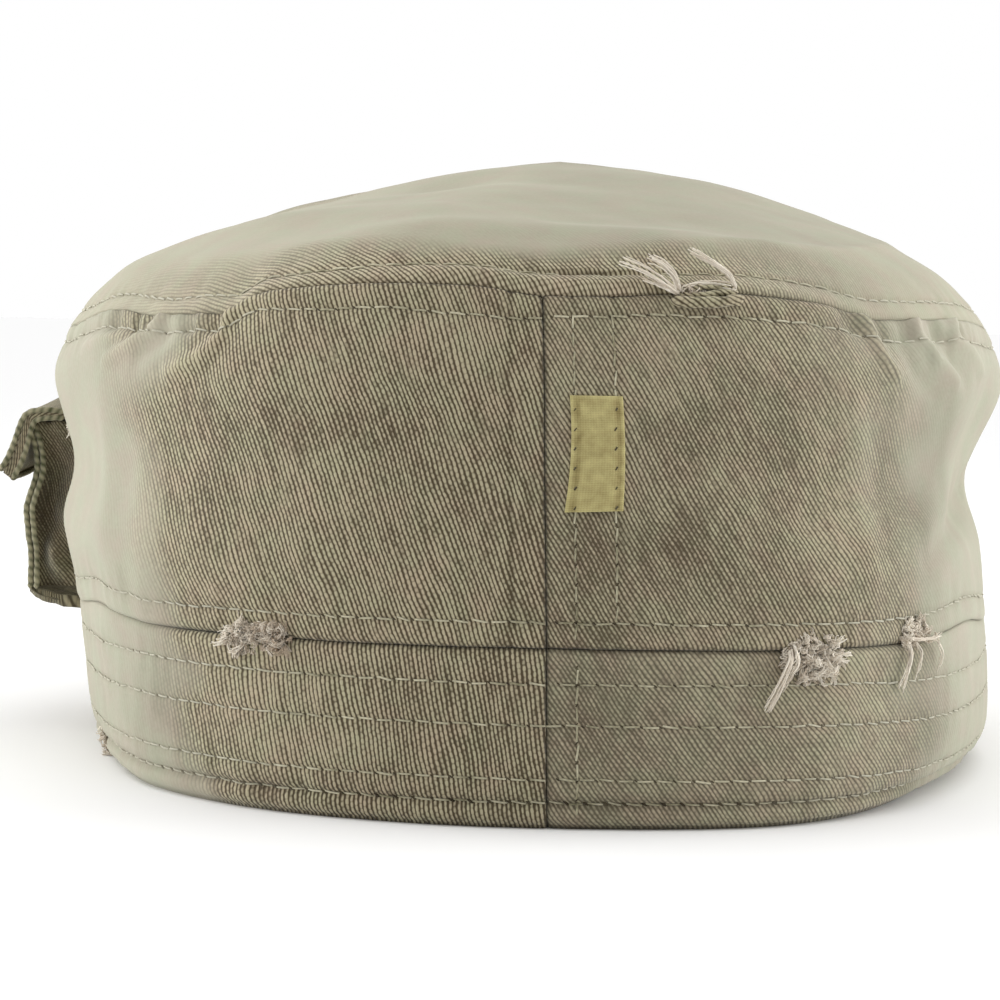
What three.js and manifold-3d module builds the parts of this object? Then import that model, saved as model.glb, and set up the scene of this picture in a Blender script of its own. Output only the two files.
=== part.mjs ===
import * as THREE from "three";
import { mergeVertices } from "three/addons/utils/BufferGeometryUtils.js";
import Module from "manifold-3d";

const wasm = await Module();
wasm.setup();

// A cloth cadet cap, in millimetres, standing on its rim.
// The origin is the middle of the head opening, Z is up, the peak points to -Y
// and the wearer's left is +X. Angles are in degrees from the centre back (+Y),
// growing towards the wearer's left.

// Cloth thicknesses, and the gap that sewn pieces keep between them
const CROWN_CLOTH = 1.6;
const BAND_CLOTH = 2.2;
const POCKET_CLOTH = 1.5;
const FLAP_CLOTH = 1.9;
const LABEL_CLOTH = 0.9;
const PEAK_THICKNESS = 2.8;
const GAP = 0.3;

// The rings of the crown, from the rim up to the top seam: the height of each at the
// centre back, the sides and the front, and its reach to each of the four directions
const RINGS = [
  { back: 0, side: 0, front: 18, left: 78.3, right: 80, rear: 98, fore: 97 },
  { back: 8, side: 7.5, front: 25, left: 79.8, right: 84.2, rear: 99, fore: 98.5 },
  { back: 28, side: 26.5, front: 46, left: 81.7, right: 82.7, rear: 99.5, fore: 98 },
  { back: 41, side: 39, front: 61, left: 84.4, right: 81.4, rear: 100.5, fore: 98 },
  { back: 54, side: 51.5, front: 76, left: 83.3, right: 78.6, rear: 100.5, fore: 97 },
  { back: 70, side: 67, front: 94, left: 87, right: 84.6, rear: 100.5, fore: 96 },
  { back: 82.5, side: 78, front: 107, left: 84.5, right: 81.6, rear: 97.5, fore: 91 },
];
const RIM = 0;
const BAND_SEAM = 2;
const TOP_SEAM = RINGS.length - 1;

// How square a ring is in plan: 2 would be an ellipse
const SQUARENESS = 2.15;

// The top panel, from its seam to its middle: each ring is the seam drawn in to a share
// of its reach, levelled towards one height, and lifted at the back, sides and front
const TOP_RINGS = [
  { share: 1, back: 0, side: 0, front: 0 },
  { share: 0.95, back: 3.6, side: 3.6, front: 1.5 },
  { share: 0.87, back: 7, side: 6.9, front: 3 },
  { share: 0.66, back: 9.5, side: 11, front: 4 },
  { share: 0.34, back: 14, side: 15, front: 8 },
  { share: 0, back: 16, side: 16, front: 16 },
];
const CENTRE = TOP_SEAM + TOP_RINGS.length - 1;
const TOP_LEVEL_HEIGHT = 91;
const TOP_LEVELLING = 1.2;
const TOP_SHIFT = { x: -4, y: -2 };
const TOP_FOLD_FADE = 0.12;

// Dents and bulges of the wall: where each lies, how far it spreads in degrees and in
// rings, and how far it moves the cloth out and up
const WALL_FOLDS = [
  { angle: -30, spread: 22, ring: 2, span: 3, out: 5.5, up: 0 },
  { angle: 38, spread: 18, ring: 1.5, span: 3, out: 1.5, up: 0 },
  { angle: 14, spread: 12, ring: 6, span: 1, out: 0, up: 2.2 },
  { angle: 50, spread: 16, ring: 6, span: 1.5, out: -3, up: 1.5 },
  { angle: -62, spread: 10, ring: 3.9, span: 0.7, out: -1.6, up: 0 },
  { angle: 62, spread: 9, ring: 3.6, span: 1.1, out: -1.2, up: 0 },
  { angle: -104, spread: 12, ring: 4.1, span: 0.8, out: -1.2, up: 0 },
  { angle: 66, spread: 14, ring: 0, span: 1.2, out: -1.6, up: 0 },
  { angle: -66, spread: 14, ring: 0, span: 1, out: -1.8, up: 0 },
  { angle: 158, spread: 14, ring: 4.6, span: 1.2, out: -1.8, up: 0 },
  { angle: -160, spread: 12, ring: 3.8, span: 1, out: 1.4, up: 0 },
];

// Dents and ridges of the top panel: the middle of each in plan, its half length and
// half width, how far its length is turned from X, and how far it lifts the cloth
const TOP_FOLDS = [
  { x: -52, y: 0, length: 50, width: 26, turn: 90, up: 1.8 },
  { x: 42, y: 52, length: 34, width: 9, turn: -32, up: 1.3 },
  { x: -18, y: 80, length: 60, width: 6, turn: 4, up: 1 },
  { x: 22, y: 22, length: 40, width: 11, turn: -24, up: -1.2 },
  { x: -26, y: -38, length: 34, width: 12, turn: 18, up: -1.6 },
  { x: 34, y: -46, length: 30, width: 10, turn: -40, up: 1.2 },
];

// Where the vertical seams are. The worn cloth at the back sways a little to one side
// as it rises, by this many degrees for each ring above or below the swayed middle.
const BACK_SEAM = -1.25;
const SIDE_SEAM = 128;
const FRONT_SEAM = 179;
const BACK_SWAY = 0.2;
const SWAY_MIDDLE = 3;

// How finely the cloth is divided
const COLUMN_STEP = 4;
const WALL_ROWS = 8;
const BAND_ROWS = 4;
const TOP_ROWS = [0.35, 0.7, 1.15, 1.7, 2.3, 2.9, 3.5, 4.2];

// The peak: its half span along the rim in degrees, its reach at the middle and at its
// ends, how its outline rounds off and widens, the arch of its edge, and the least room
// that it leaves over the floor. Its rows are shares of the way from root to edge.
const PEAK_SPAN = 58;
const PEAK_REACH = 52;
const PEAK_END = 4;
const PEAK_ROUNDING = 0.8;
const PEAK_WIDENING = 1.04;
const PEAK_EDGE_ARCH = 4.6;
const PEAK_CLEARANCE = 0.15;
const PEAK_ROOT = 0.06;
const PEAK_ROWS = [0, PEAK_ROOT, 0.3, 0.55, 0.8, 1];

// The bellows pocket on the wearer's left, sewn on just above the band
const POCKET = { from: 86, to: 121, lower: 1.87, upper: 4.15, lowerDepth: 9.4, upperDepth: 7.8 };
const POCKET_COLUMNS = 9;
const POCKET_ROWS = 5;
const FLAP = { from: 84.5, to: 122.5 };
const FLAP_SECTION = [
  { out: GAP, ring: 4.47 },
  { out: 4.2, ring: 4.5 },
  { out: 7.8, ring: 4.44 },
  { out: 10.6, ring: 4.2 },
  { out: 13.2, ring: 3.7 },
];

// The woven label beside the centre-back seam
const LABEL = { x: -9.6, width: 8.4, lower: 3.6, upper: 4.79 };

const COLOURS = {
  twill: 0x9a9378,
  band: 0x938c70,
  peak: 0x9a9378,
  pocket: 0x8c866c,
  label: 0xb3a062,
};

const radians = THREE.MathUtils.degToRad;

// One row of a table, on the smooth curve through its rows
function rowAt(table, place) {
  const last = table.length - 1;
  const index = Math.min(Math.floor(place), last - 1);
  const part = place - index;
  const row = {};
  for (const column of Object.keys(table[0])) {
    const start = table[index][column];
    const end = table[index + 1][column];
    const before = index > 0 ? table[index - 1][column] : 2 * start - end;
    const after = index < last - 1 ? table[index + 2][column] : 2 * end - start;
    const startSlope = (end - before) / 2;
    const endSlope = (after - start) / 2;
    const square = part * part;
    const cube = square * part;
    row[column] = (2 * cube - 3 * square + 1) * start + (cube - 2 * square + part) * startSlope
      + (3 * square - 2 * cube) * end + (cube - square) * endSlope;
  }
  return row;
}

// The difference between two angles, from -180 to 180 degrees
function turnBetween(angle, other) {
  return THREE.MathUtils.euclideanModulo(angle - other + 180, 360) - 180;
}

// A weight that falls from 1 at the middle of a fold to nothing around it
function bell(along, across) {
  return Math.exp(-along * along - across * across);
}

// The outer face of the wall at an angle and a ring
function wallPoint(angle, ring) {
  const row = rowAt(RINGS, ring);
  const sine = Math.sin(radians(angle));
  const cosine = Math.cos(radians(angle));
  const sideReach = sine > 0 ? row.left : row.right;
  const endReach = cosine > 0 ? row.rear : row.fore;
  const endHeight = cosine > 0 ? row.back : row.front;
  const squared = Math.abs(sine / sideReach) ** SQUARENESS + Math.abs(cosine / endReach) ** SQUARENESS;
  let reach = squared ** (-1 / SQUARENESS);
  let height = row.side * sine * sine + endHeight * cosine * cosine;
  for (const fold of WALL_FOLDS) {
    const weight = bell(turnBetween(angle, fold.angle) / fold.spread, (ring - fold.ring) / fold.span);
    reach += fold.out * weight;
    height += fold.up * weight;
  }
  return new THREE.Vector3(reach * sine, reach * cosine, height);
}

// The outer face of the top panel, whose rings carry on from the top seam
function topPoint(angle, ring) {
  const row = rowAt(TOP_RINGS, ring - TOP_SEAM);
  const share = Math.max(row.share, 0);
  const seam = wallPoint(angle, TOP_SEAM);
  const sine = Math.sin(radians(angle));
  const cosine = Math.cos(radians(angle));
  const endLift = cosine > 0 ? row.back : row.front;
  const x = seam.x * share + TOP_SHIFT.x * (1 - share * share);
  const y = seam.y * share + TOP_SHIFT.y * (1 - share);
  let z = TOP_LEVEL_HEIGHT + (seam.z - TOP_LEVEL_HEIGHT) * share ** TOP_LEVELLING;
  z += row.side * sine * sine + endLift * cosine * cosine;
  const fade = Math.min(1, (1 - share) / TOP_FOLD_FADE);
  for (const fold of TOP_FOLDS) {
    const turn = radians(fold.turn);
    const along = (x - fold.x) * Math.cos(turn) + (y - fold.y) * Math.sin(turn);
    const across = (y - fold.y) * Math.cos(turn) - (x - fold.x) * Math.sin(turn);
    z += fold.up * fade * bell(along / fold.length, across / fold.width);
  }
  return new THREE.Vector3(x, y, z);
}

// The whole outer face of the crown, from the rim to the middle of the top
function skin(angle, ring) {
  return ring <= TOP_SEAM ? wallPoint(angle, ring) : topPoint(angle, ring);
}

// The way out of the cloth at a point of the skin
function outward(angle, ring) {
  if (ring >= CENTRE) {
    return new THREE.Vector3(0, 0, 1);
  }
  const ringStep = 0.12;
  const angleStep = 1.5;
  const up = skin(angle, Math.min(ring + ringStep, CENTRE)).sub(skin(angle, Math.max(ring - ringStep, RIM)));
  const round = skin(angle + angleStep, ring).sub(skin(angle - angleStep, ring));
  const out = new THREE.Vector3().crossVectors(up, round);
  if (ring <= RIM) {
    out.z = 0;
  }
  return out.normalize();
}

// The way out of the wall, level with the floor
function levelOutward(angle, ring) {
  const out = outward(angle, ring);
  out.z = 0;
  return out.normalize();
}

// The number of rings that a length takes up along the wall
function ringsFor(length, angle, ring) {
  const step = 0.1;
  return (length * 2 * step) / skin(angle, ring + step).distanceTo(skin(angle, ring - step));
}

// The angle that a length takes up along a ring
function degreesFor(length, angle, ring) {
  return length / skin(angle + 0.5, ring).distanceTo(skin(angle - 0.5, ring));
}

// Evenly spaced values from one end to the other
function spaced(from, to, count) {
  return Array.from({ length: count + 1 }, (_, index) => from + ((to - from) * index) / count);
}

// A geometry from points and from faces that list them by number, all seen from outside
function geometryFrom(points, faces) {
  const geometry = new THREE.BufferGeometry();
  const numbers = points.flatMap((point) => [point.x, point.y, point.z]);
  geometry.setAttribute("position", new THREE.Float32BufferAttribute(numbers, 3));
  geometry.setIndex(faces.flatMap((face) => {
    const triangles = [];
    for (let corner = 1; corner < face.length - 1; corner++) {
      triangles.push(face[0], face[corner], face[corner + 1]);
    }
    return triangles;
  }));
  return geometry;
}

// A closed sheet from two faces of the same grid, each a list of rows of points that run
// upwards, with columns that run towards the wearer's left
function sheetBetween(outer, inner) {
  const rows = outer.length;
  const columns = outer[0].length;
  const points = [...outer.flat(), ...inner.flat()];
  const out = (row, column) => row * columns + column;
  const within = (row, column) => rows * columns + row * columns + column;
  const faces = [];
  for (let row = 0; row < rows - 1; row++) {
    for (let column = 0; column < columns - 1; column++) {
      faces.push([out(row, column), out(row + 1, column), out(row + 1, column + 1), out(row, column + 1)]);
      faces.push([
        within(row, column),
        within(row, column + 1),
        within(row + 1, column + 1),
        within(row + 1, column),
      ]);
    }
    faces.push([out(row, 0), within(row, 0), within(row + 1, 0), out(row + 1, 0)]);
    const end = columns - 1;
    faces.push([out(row, end), out(row + 1, end), within(row + 1, end), within(row, end)]);
  }
  for (let column = 0; column < columns - 1; column++) {
    const top = rows - 1;
    faces.push([out(0, column), out(0, column + 1), within(0, column + 1), within(0, column)]);
    faces.push([out(top, column), within(top, column), within(top, column + 1), out(top, column + 1)]);
  }
  return geometryFrom(points, faces);
}

// An angle of the wall's cloth, carried aside where the back sways
function swayed(angle, ring) {
  const share = Math.max(Math.cos(radians(angle)), 0) ** 4;
  return angle + BACK_SWAY * (Math.min(ring, TOP_SEAM) - SWAY_MIDDLE) * share;
}

// A grid of skin points moved in by a depth
function skinGrid(angles, rings, depth) {
  return rings.map((ring) => angles.map((angle) => {
    const place = swayed(angle, ring);
    return skin(place, ring).addScaledVector(outward(place, ring), -depth);
  }));
}

// A piece of the wall between two vertical seams and two rings
function wallPiece(from, to, rings, thickness) {
  const inset = degreesFor(GAP / 2, (from + to) / 2, BAND_SEAM);
  const angles = spaced(from + inset, to - inset, Math.round((to - from) / COLUMN_STEP));
  return sheetBetween(skinGrid(angles, rings, 0), skinGrid(angles, rings, thickness));
}

// A crown panel, from the band seam to the top seam
function crownPanel(from, to) {
  const middle = (from + to) / 2;
  const lower = BAND_SEAM + ringsFor(GAP / 2, middle, BAND_SEAM);
  const upper = TOP_SEAM - ringsFor(GAP / 2, middle, TOP_SEAM - 0.2);
  return wallPiece(from, to, spaced(lower, upper, WALL_ROWS), CROWN_CLOTH);
}

// Half of the band, from the rim to the band seam
function bandHalf(from, to) {
  const upper = BAND_SEAM - ringsFor(GAP / 2, (from + to) / 2, BAND_SEAM);
  return wallPiece(from, to, spaced(RIM, upper, BAND_ROWS), BAND_CLOTH);
}

// The top panel: rings of cloth that close on a point in the middle
function topPanel() {
  const count = Math.round(360 / COLUMN_STEP);
  const angles = spaced(0, 360, count).slice(0, count);
  const start = ringsFor(GAP / 2, 0, TOP_SEAM + 0.2);
  const rings = [start, ...TOP_ROWS].map((row) => TOP_SEAM + row);
  const points = [...skinGrid(angles, rings, 0).flat(), ...skinGrid(angles, rings, CROWN_CLOTH).flat()];
  const middle = points.length;
  const peakPoint = skin(0, CENTRE);
  points.push(peakPoint.clone(), peakPoint.clone().setZ(peakPoint.z - CROWN_CLOTH));
  const out = (row, column) => row * count + (column % count);
  const within = (row, column) => (rings.length + row) * count + (column % count);
  const last = rings.length - 1;
  const faces = [];
  for (let column = 0; column < count; column++) {
    const next = column + 1;
    for (let row = 0; row < last; row++) {
      faces.push([out(row, column), out(row + 1, column), out(row + 1, next), out(row, next)]);
      faces.push([within(row, column), within(row, next), within(row + 1, next), within(row + 1, column)]);
    }
    faces.push([out(last, column), middle, out(last, next)]);
    faces.push([within(last, column), within(last, next), middle + 1]);
    faces.push([out(0, column), out(0, next), within(0, next), within(0, column)]);
  }
  return geometryFrom(points, faces);
}

// One line of the peak's upper face, from under the band out to the edge. Place runs
// from -1 at the wearer's right end to 1 at the left end.
function peakLine(place) {
  const angle = 180 - PEAK_SPAN * place;
  const root = skin(angle, RIM);
  const out = outward(angle, RIM);
  const rootHeight = root.z - GAP;
  const end = skin(180 - PEAK_SPAN * Math.sign(place || 1), RIM);
  const swing = radians(90 * place);
  const depth = -skin(180, RIM).y + PEAK_REACH + end.y;
  const edge = new THREE.Vector3(
    Math.abs(end.x) * PEAK_WIDENING * Math.sin(swing),
    end.y - PEAK_END - (depth - PEAK_END) * Math.cos(swing) ** PEAK_ROUNDING,
    PEAK_THICKNESS + PEAK_CLEARANCE + PEAK_EDGE_ARCH * Math.cos(swing),
  );
  const inner = root.clone().addScaledVector(out, -BAND_CLOTH).setZ(rootHeight);
  const lip = root.clone().addScaledVector(out, GAP).setZ(rootHeight);
  return PEAK_ROWS.map((row) => {
    if (row === 0) {
      return inner;
    }
    return lip.clone().lerp(edge, (row - PEAK_ROOT) / (1 - PEAK_ROOT));
  });
}

// The peak: a crescent that runs out from under the front of the band
function peak() {
  const lines = spaced(1, -1, Math.round((2 * PEAK_SPAN) / COLUMN_STEP)).map(peakLine);
  const upper = PEAK_ROWS.map((_, row) => lines.map((line) => line[row])).reverse();
  const lower = upper.map((line) => line.map((point) => point.clone().setZ(point.z - PEAK_THICKNESS)));
  return sheetBetween(upper, lower);
}

// A block of cloth that lies on the wall, between two angles, two rings and two depths
function wallBlock(angles, rings, inside, outside) {
  const grid = (out) => rings.map((ring, row) => angles.map((angle) => {
    return skin(angle, ring).addScaledVector(levelOutward(angle, ring), out(row));
  }));
  return sheetBetween(grid(outside), grid(inside));
}

// A geometry as a solid that can be cut
function solidOf(geometry) {
  const merged = mergeVertices(geometry);
  const mesh = new wasm.Mesh({
    numProp: 3,
    vertProperties: new Float32Array(merged.attributes.position.array),
    triVerts: new Uint32Array(merged.index.array),
  });
  return new wasm.Manifold(mesh);
}

// A solid as a geometry
function geometryOf(solid) {
  const mesh = solid.getMesh();
  const geometry = new THREE.BufferGeometry();
  geometry.setAttribute("position", new THREE.BufferAttribute(mesh.vertProperties, 3));
  geometry.setIndex(new THREE.BufferAttribute(mesh.triVerts, 1));
  return geometry;
}

// The pocket's pouch: a face, two gussets and a bottom, open at the top and to the wall
function pocketPouch() {
  const middle = (POCKET.from + POCKET.to) / 2;
  const sideWall = degreesFor(POCKET_CLOTH, middle, POCKET.lower);
  const bottomWall = ringsFor(POCKET_CLOTH, middle, POCKET.lower);
  const depth = (row) => THREE.MathUtils.lerp(POCKET.lowerDepth, POCKET.upperDepth, row / POCKET_ROWS);
  const outer = wallBlock(
    spaced(POCKET.from, POCKET.to, POCKET_COLUMNS),
    spaced(POCKET.lower, POCKET.upper, POCKET_ROWS),
    () => GAP,
    depth,
  );
  const hollow = wallBlock(
    spaced(POCKET.from + sideWall, POCKET.to - sideWall, POCKET_COLUMNS),
    spaced(POCKET.lower + bottomWall, POCKET.upper + bottomWall, POCKET_ROWS),
    () => -GAP,
    (row) => depth(row) - POCKET_CLOTH,
  );
  return geometryOf(solidOf(outer).subtract(solidOf(hollow)));
}

// The flap: a bent section carried along the wall over the pouch
function pocketFlap() {
  const angles = spaced(FLAP.from, FLAP.to, POCKET_COLUMNS);
  const grid = (thickness) => FLAP_SECTION.map((corner, index) => angles.map((angle) => {
    const bend = index / (FLAP_SECTION.length - 1);
    const out = corner.out - thickness * bend;
    const place = skin(angle, corner.ring).addScaledVector(levelOutward(angle, corner.ring), out);
    place.z -= thickness * (1 - bend);
    return place;
  }));
  return sheetBetween(grid(0).reverse(), grid(FLAP_CLOTH).reverse());
}

// The label: a small flat tab on the wall
function label() {
  const reach = skin(0, LABEL.lower).y;
  const angleOf = (x) => THREE.MathUtils.radToDeg(Math.asin(x / reach));
  const angles = spaced(angleOf(LABEL.x - LABEL.width / 2), angleOf(LABEL.x + LABEL.width / 2), 2);
  return wallBlock(angles, spaced(LABEL.lower, LABEL.upper, 4), () => GAP, () => GAP + LABEL_CLOTH);
}

function cloth(colour) {
  return new THREE.MeshStandardMaterial({ color: colour, roughness: 0.9, metalness: 0 });
}

function named(name, geometry, material) {
  const mesh = new THREE.Mesh(geometry, material);
  mesh.name = name;
  return mesh;
}

const twill = cloth(COLOURS.twill);
const bandCloth = cloth(COLOURS.band);
const pocketCloth = cloth(COLOURS.pocket);

const group = new THREE.Group();
group.add(
  named("top_panel", topPanel(), twill),
  named("back_left_panel", crownPanel(BACK_SEAM, SIDE_SEAM), twill),
  named("front_panel", crownPanel(SIDE_SEAM, 360 - SIDE_SEAM), twill),
  named("back_right_panel", crownPanel(360 - SIDE_SEAM, 360 + BACK_SEAM), twill),
  named("band_left", bandHalf(BACK_SEAM, FRONT_SEAM), bandCloth),
  named("band_right", bandHalf(FRONT_SEAM, 360 + BACK_SEAM), bandCloth),
  named("peak", peak(), cloth(COLOURS.peak)),
  named("pocket_pouch", pocketPouch(), pocketCloth),
  named("pocket_flap", pocketFlap(), pocketCloth),
  named("label", label(), cloth(COLOURS.label)),
);

export default group;
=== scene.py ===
import math

import bpy
import numpy as np
from mathutils import Matrix, Vector


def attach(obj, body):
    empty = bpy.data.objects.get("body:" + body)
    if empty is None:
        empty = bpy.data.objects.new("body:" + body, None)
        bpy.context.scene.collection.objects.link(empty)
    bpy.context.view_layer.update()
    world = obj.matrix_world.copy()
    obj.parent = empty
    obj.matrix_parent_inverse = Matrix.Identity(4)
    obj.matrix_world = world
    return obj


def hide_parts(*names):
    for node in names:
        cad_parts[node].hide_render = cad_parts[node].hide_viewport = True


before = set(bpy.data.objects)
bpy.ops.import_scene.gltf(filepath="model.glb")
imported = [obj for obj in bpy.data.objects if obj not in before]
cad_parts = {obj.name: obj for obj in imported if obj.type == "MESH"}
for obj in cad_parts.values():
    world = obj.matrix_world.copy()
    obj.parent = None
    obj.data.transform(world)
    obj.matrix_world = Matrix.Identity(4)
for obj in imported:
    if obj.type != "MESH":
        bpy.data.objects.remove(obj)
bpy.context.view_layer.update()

MM = 0.001

# The crown wall: three panels of washed cotton twill, cut from different lays of the
# cloth and sewn into a ring. Each is a thin sheet whose worn shape comes from the rings
# and dents below, all in millimetres and degrees from the centre back.

def named_rows(columns, *rows):
    """A short table: the names of its columns, then its rows"""
    return [dict(zip(columns.split(), row)) for row in rows]


# Rings round the crown: heights at back, side and front, and reaches to the four sides
RINGS = named_rows(
    "back side front left right rear fore",
    (0, 0, 18, 78.3, 80, 98, 97),
    (8, 7.5, 25, 79.8, 84.2, 99, 98.5),
    (28, 26.5, 46, 81.7, 82.7, 99.5, 98),
    (41, 39, 61, 84.4, 81.4, 100.5, 98),
    (54, 51.5, 76, 83.3, 78.6, 100.5, 97),
    (70, 67, 94, 87, 84.6, 100.5, 96),
    (82.5, 78, 107, 84.5, 81.6, 97.5, 91),
)
RIM = 0
BAND_SEAM = 2
TOP_SEAM = len(RINGS) - 1
SQUARENESS = 2.15

# Rings of the top: the share of the seam's reach, and the lift of back, side and front
TOP_RINGS = named_rows(
    "share back side front",
    (1, 0, 0, 0),
    (0.95, 3.6, 3.6, 1.5),
    (0.87, 7, 6.9, 3),
    (0.66, 9.5, 11, 4),
    (0.34, 14, 15, 8),
    (0, 16, 16, 16),
)
CENTRE = TOP_SEAM + len(TOP_RINGS) - 1
TOP_LEVEL_HEIGHT = 91
TOP_LEVELLING = 1.2
TOP_SHIFT_X = -4
TOP_SHIFT_Y = -2
TOP_FOLD_FADE = 0.12

# Dents and bulges: their angle and ring, how far they spread, and how the cloth moves
WALL_DENTS = named_rows(
    "angle spread ring span out up",
    (-30, 22, 2, 3, 5.5, 0),
    (38, 18, 1.5, 3, 1.5, 0),
    (14, 12, 6, 1, 0, 2.2),
    (50, 16, 6, 1.5, -3, 1.5),
    (-62, 10, 3.9, 0.7, -1.6, 0),
    (62, 9, 3.6, 1.1, -1.2, 0),
    (-104, 12, 4.1, 0.8, -1.2, 0),
    (66, 14, 0, 1.2, -1.6, 0),
    (-66, 14, 0, 1, -1.8, 0),
    (158, 14, 4.6, 1.2, -1.8, 0),
    (-160, 12, 3.8, 1, 1.4, 0),
    (86, 15, 3.3, 0.5, 1.2, 0),
    (84, 16, 1.3, 1.1, 1, 0),
    (-22, 12, 0, 1, 1.7, 0),
    (-48, 13, 0, 0.9, -2.4, 0.4),
    (-61, 7, 4.8, 0.6, -1.5, 0),
)
SEAM_DENTS = named_rows(
    "angle spread ring span out up",
    (56, 11, 2, 0.8, 0, 1.6),
    (-54, 9, 2, 0.8, 0, 1.6),
)
# How the top seam rises and falls round the back of the cap
TOP_SEAM_WAVE = named_rows(
    "angle up",
    (-120, 0),
    (-75, -0.6),
    (-55, -0.5),
    (-40.5, -1.3),
    (-34.5, -1.7),
    (-28.5, -0.1),
    (-24, 0.6),
    (-18, 1),
    (-13, 0.4),
    (-7, -0.4),
    (0, -0.9),
    (5, -0.4),
    (10.5, -0.8),
    (17.5, -0.9),
    (24, -0.6),
    (27.5, -1),
    (30.5, -3.3),
    (35, -3.3),
    (44, -3.9),
    (55, -2.4),
    (75, -3),
    (120, 0),
)
SEAM_WAVE_SPAN = 0.9
LINE_SAMPLES = 400
# Dents and creases of the top, by their middles, lengths, widths and turns
TOP_DENTS = named_rows(
    "x y length width turn up",
    (-52, 0, 50, 26, 90, 1.8),
    (42, 52, 34, 9, -32, 1.3),
    (-18, 80, 60, 6, 4, 1),
    (22, 22, 40, 11, -24, -1.2),
    (-26, -38, 34, 12, 18, -1.6),
    (34, -46, 30, 10, -40, 1.2),
    (61, 50, 16, 11, -45, -1.4),
    (17, 27, 14, 12, 0, -1.2),
    (-38, 35, 16, 10, 45, -0.9),
)

BACK_SEAM = -1.25
SIDE_SEAM = 128
FRONT_SEAM = 179
BACK_SWAY = 0.2
SWAY_MIDDLE = 3
SEAM_GAP = 0.12
CROWN_CLOTH = 1.6


def row_at(table, place):
    """Every column of a table, on the smooth curve through its rows"""
    last = len(table) - 1
    index = np.clip(np.floor(place).astype(int), 0, last - 1)
    part = place - index
    square = part * part
    cube = square * part
    row = {}
    for name in table[0]:
        column = np.array([entry[name] for entry in table], float)
        column = np.concatenate([[2 * column[0] - column[1]], column, [2 * column[-1] - column[-2]]])
        before, start, end, after = (column[index + step] for step in range(4))
        row[name] = (
            (2 * cube - 3 * square + 1) * start
            + (cube - 2 * square + part) * (end - before) / 2
            + (3 * square - 2 * cube) * end
            + (cube - square) * (after - start) / 2
        )
    return row


def dented(dents, angle, ring):
    """How far a table of dents moves the cloth outwards and upwards"""
    out = np.zeros_like(angle)
    up = np.zeros_like(angle)
    for dent in dents:
        turn = (angle - dent["angle"] + 180) % 360 - 180
        weight = np.exp(-((turn / dent["spread"]) ** 2) - ((ring - dent["ring"]) / dent["span"]) ** 2)
        out += dent["out"] * weight
        up += dent["up"] * weight
    return out, up


def wall_point(angle, ring):
    """The outer face of the wall, before its fine folds"""
    row = row_at(RINGS, ring)
    sine = np.sin(np.radians(angle))
    cosine = np.cos(np.radians(angle))
    side_reach = np.where(sine > 0, row["left"], row["right"])
    end_reach = np.where(cosine > 0, row["rear"], row["fore"])
    end_height = np.where(cosine > 0, row["back"], row["front"])
    squared = np.abs(sine / side_reach) ** SQUARENESS + np.abs(cosine / end_reach) ** SQUARENESS
    out, up = dented(WALL_DENTS, angle, ring)
    reach = squared ** (-1 / SQUARENESS) + out
    height = row["side"] * sine**2 + end_height * cosine**2 + up
    return np.stack([reach * sine, reach * cosine, height], -1)


def top_point(angle, ring):
    """The outer face of the top panel, whose rings carry on from the top seam"""
    row = row_at(TOP_RINGS, ring - TOP_SEAM)
    share = np.maximum(row["share"], 0)
    seam = wall_point(angle, np.full_like(angle, float(TOP_SEAM)))
    sine = np.sin(np.radians(angle))
    cosine = np.cos(np.radians(angle))
    x = seam[..., 0] * share + TOP_SHIFT_X * (1 - share**2)
    y = seam[..., 1] * share + TOP_SHIFT_Y * (1 - share)
    z = TOP_LEVEL_HEIGHT + (seam[..., 2] - TOP_LEVEL_HEIGHT) * share**TOP_LEVELLING
    z = z + row["side"] * sine**2 + np.where(cosine > 0, row["back"], row["front"]) * cosine**2
    fade = np.minimum(1, (1 - share) / TOP_FOLD_FADE)
    for dent in TOP_DENTS:
        turn = math.radians(dent["turn"])
        along = (x - dent["x"]) * math.cos(turn) + (y - dent["y"]) * math.sin(turn)
        across = (y - dent["y"]) * math.cos(turn) - (x - dent["x"]) * math.sin(turn)
        z = z + dent["up"] * fade * np.exp(-((along / dent["length"]) ** 2) - (across / dent["width"]) ** 2)
    return np.stack([x, y, z], -1)


def seam_wave(angle):
    """How far the top seam is lifted out of its smooth line"""
    smooth = row_at(TOP_SEAM_WAVE, np.linspace(0, len(TOP_SEAM_WAVE) - 1, LINE_SAMPLES))
    return np.interp((angle + 180) % 360 - 180, smooth["angle"], smooth["up"])


def skin(angle, ring):
    """The whole outer face of the crown, from the rim to the middle of the top"""
    angle, ring = np.broadcast_arrays(np.asarray(angle, float), np.asarray(ring, float))
    wall = wall_point(angle, np.minimum(ring, TOP_SEAM))
    top = top_point(angle, np.maximum(ring, TOP_SEAM))
    points = np.where((ring <= TOP_SEAM)[..., None], wall, top)
    near_seam = np.exp(-(((ring - TOP_SEAM) / SEAM_WAVE_SPAN) ** 2))
    points[..., 2] += dented(SEAM_DENTS, angle, ring)[1] + seam_wave(angle) * near_seam
    return points


def unit(vectors):
    return vectors / np.maximum(np.linalg.norm(vectors, axis=-1, keepdims=True), 1e-9)


def outward(angle, ring):
    """The way out of the cloth"""
    angle, ring = np.broadcast_arrays(np.asarray(angle, float), np.asarray(ring, float))
    ring_step = 0.12
    angle_step = 1.5
    up = skin(angle, np.minimum(ring + ring_step, CENTRE)) - skin(angle, np.maximum(ring - ring_step, RIM))
    around = skin(angle + angle_step, ring) - skin(angle - angle_step, ring)
    out = np.cross(up, around)
    out[..., 2] = np.where(ring <= RIM, 0, out[..., 2])
    return unit(out)


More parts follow.
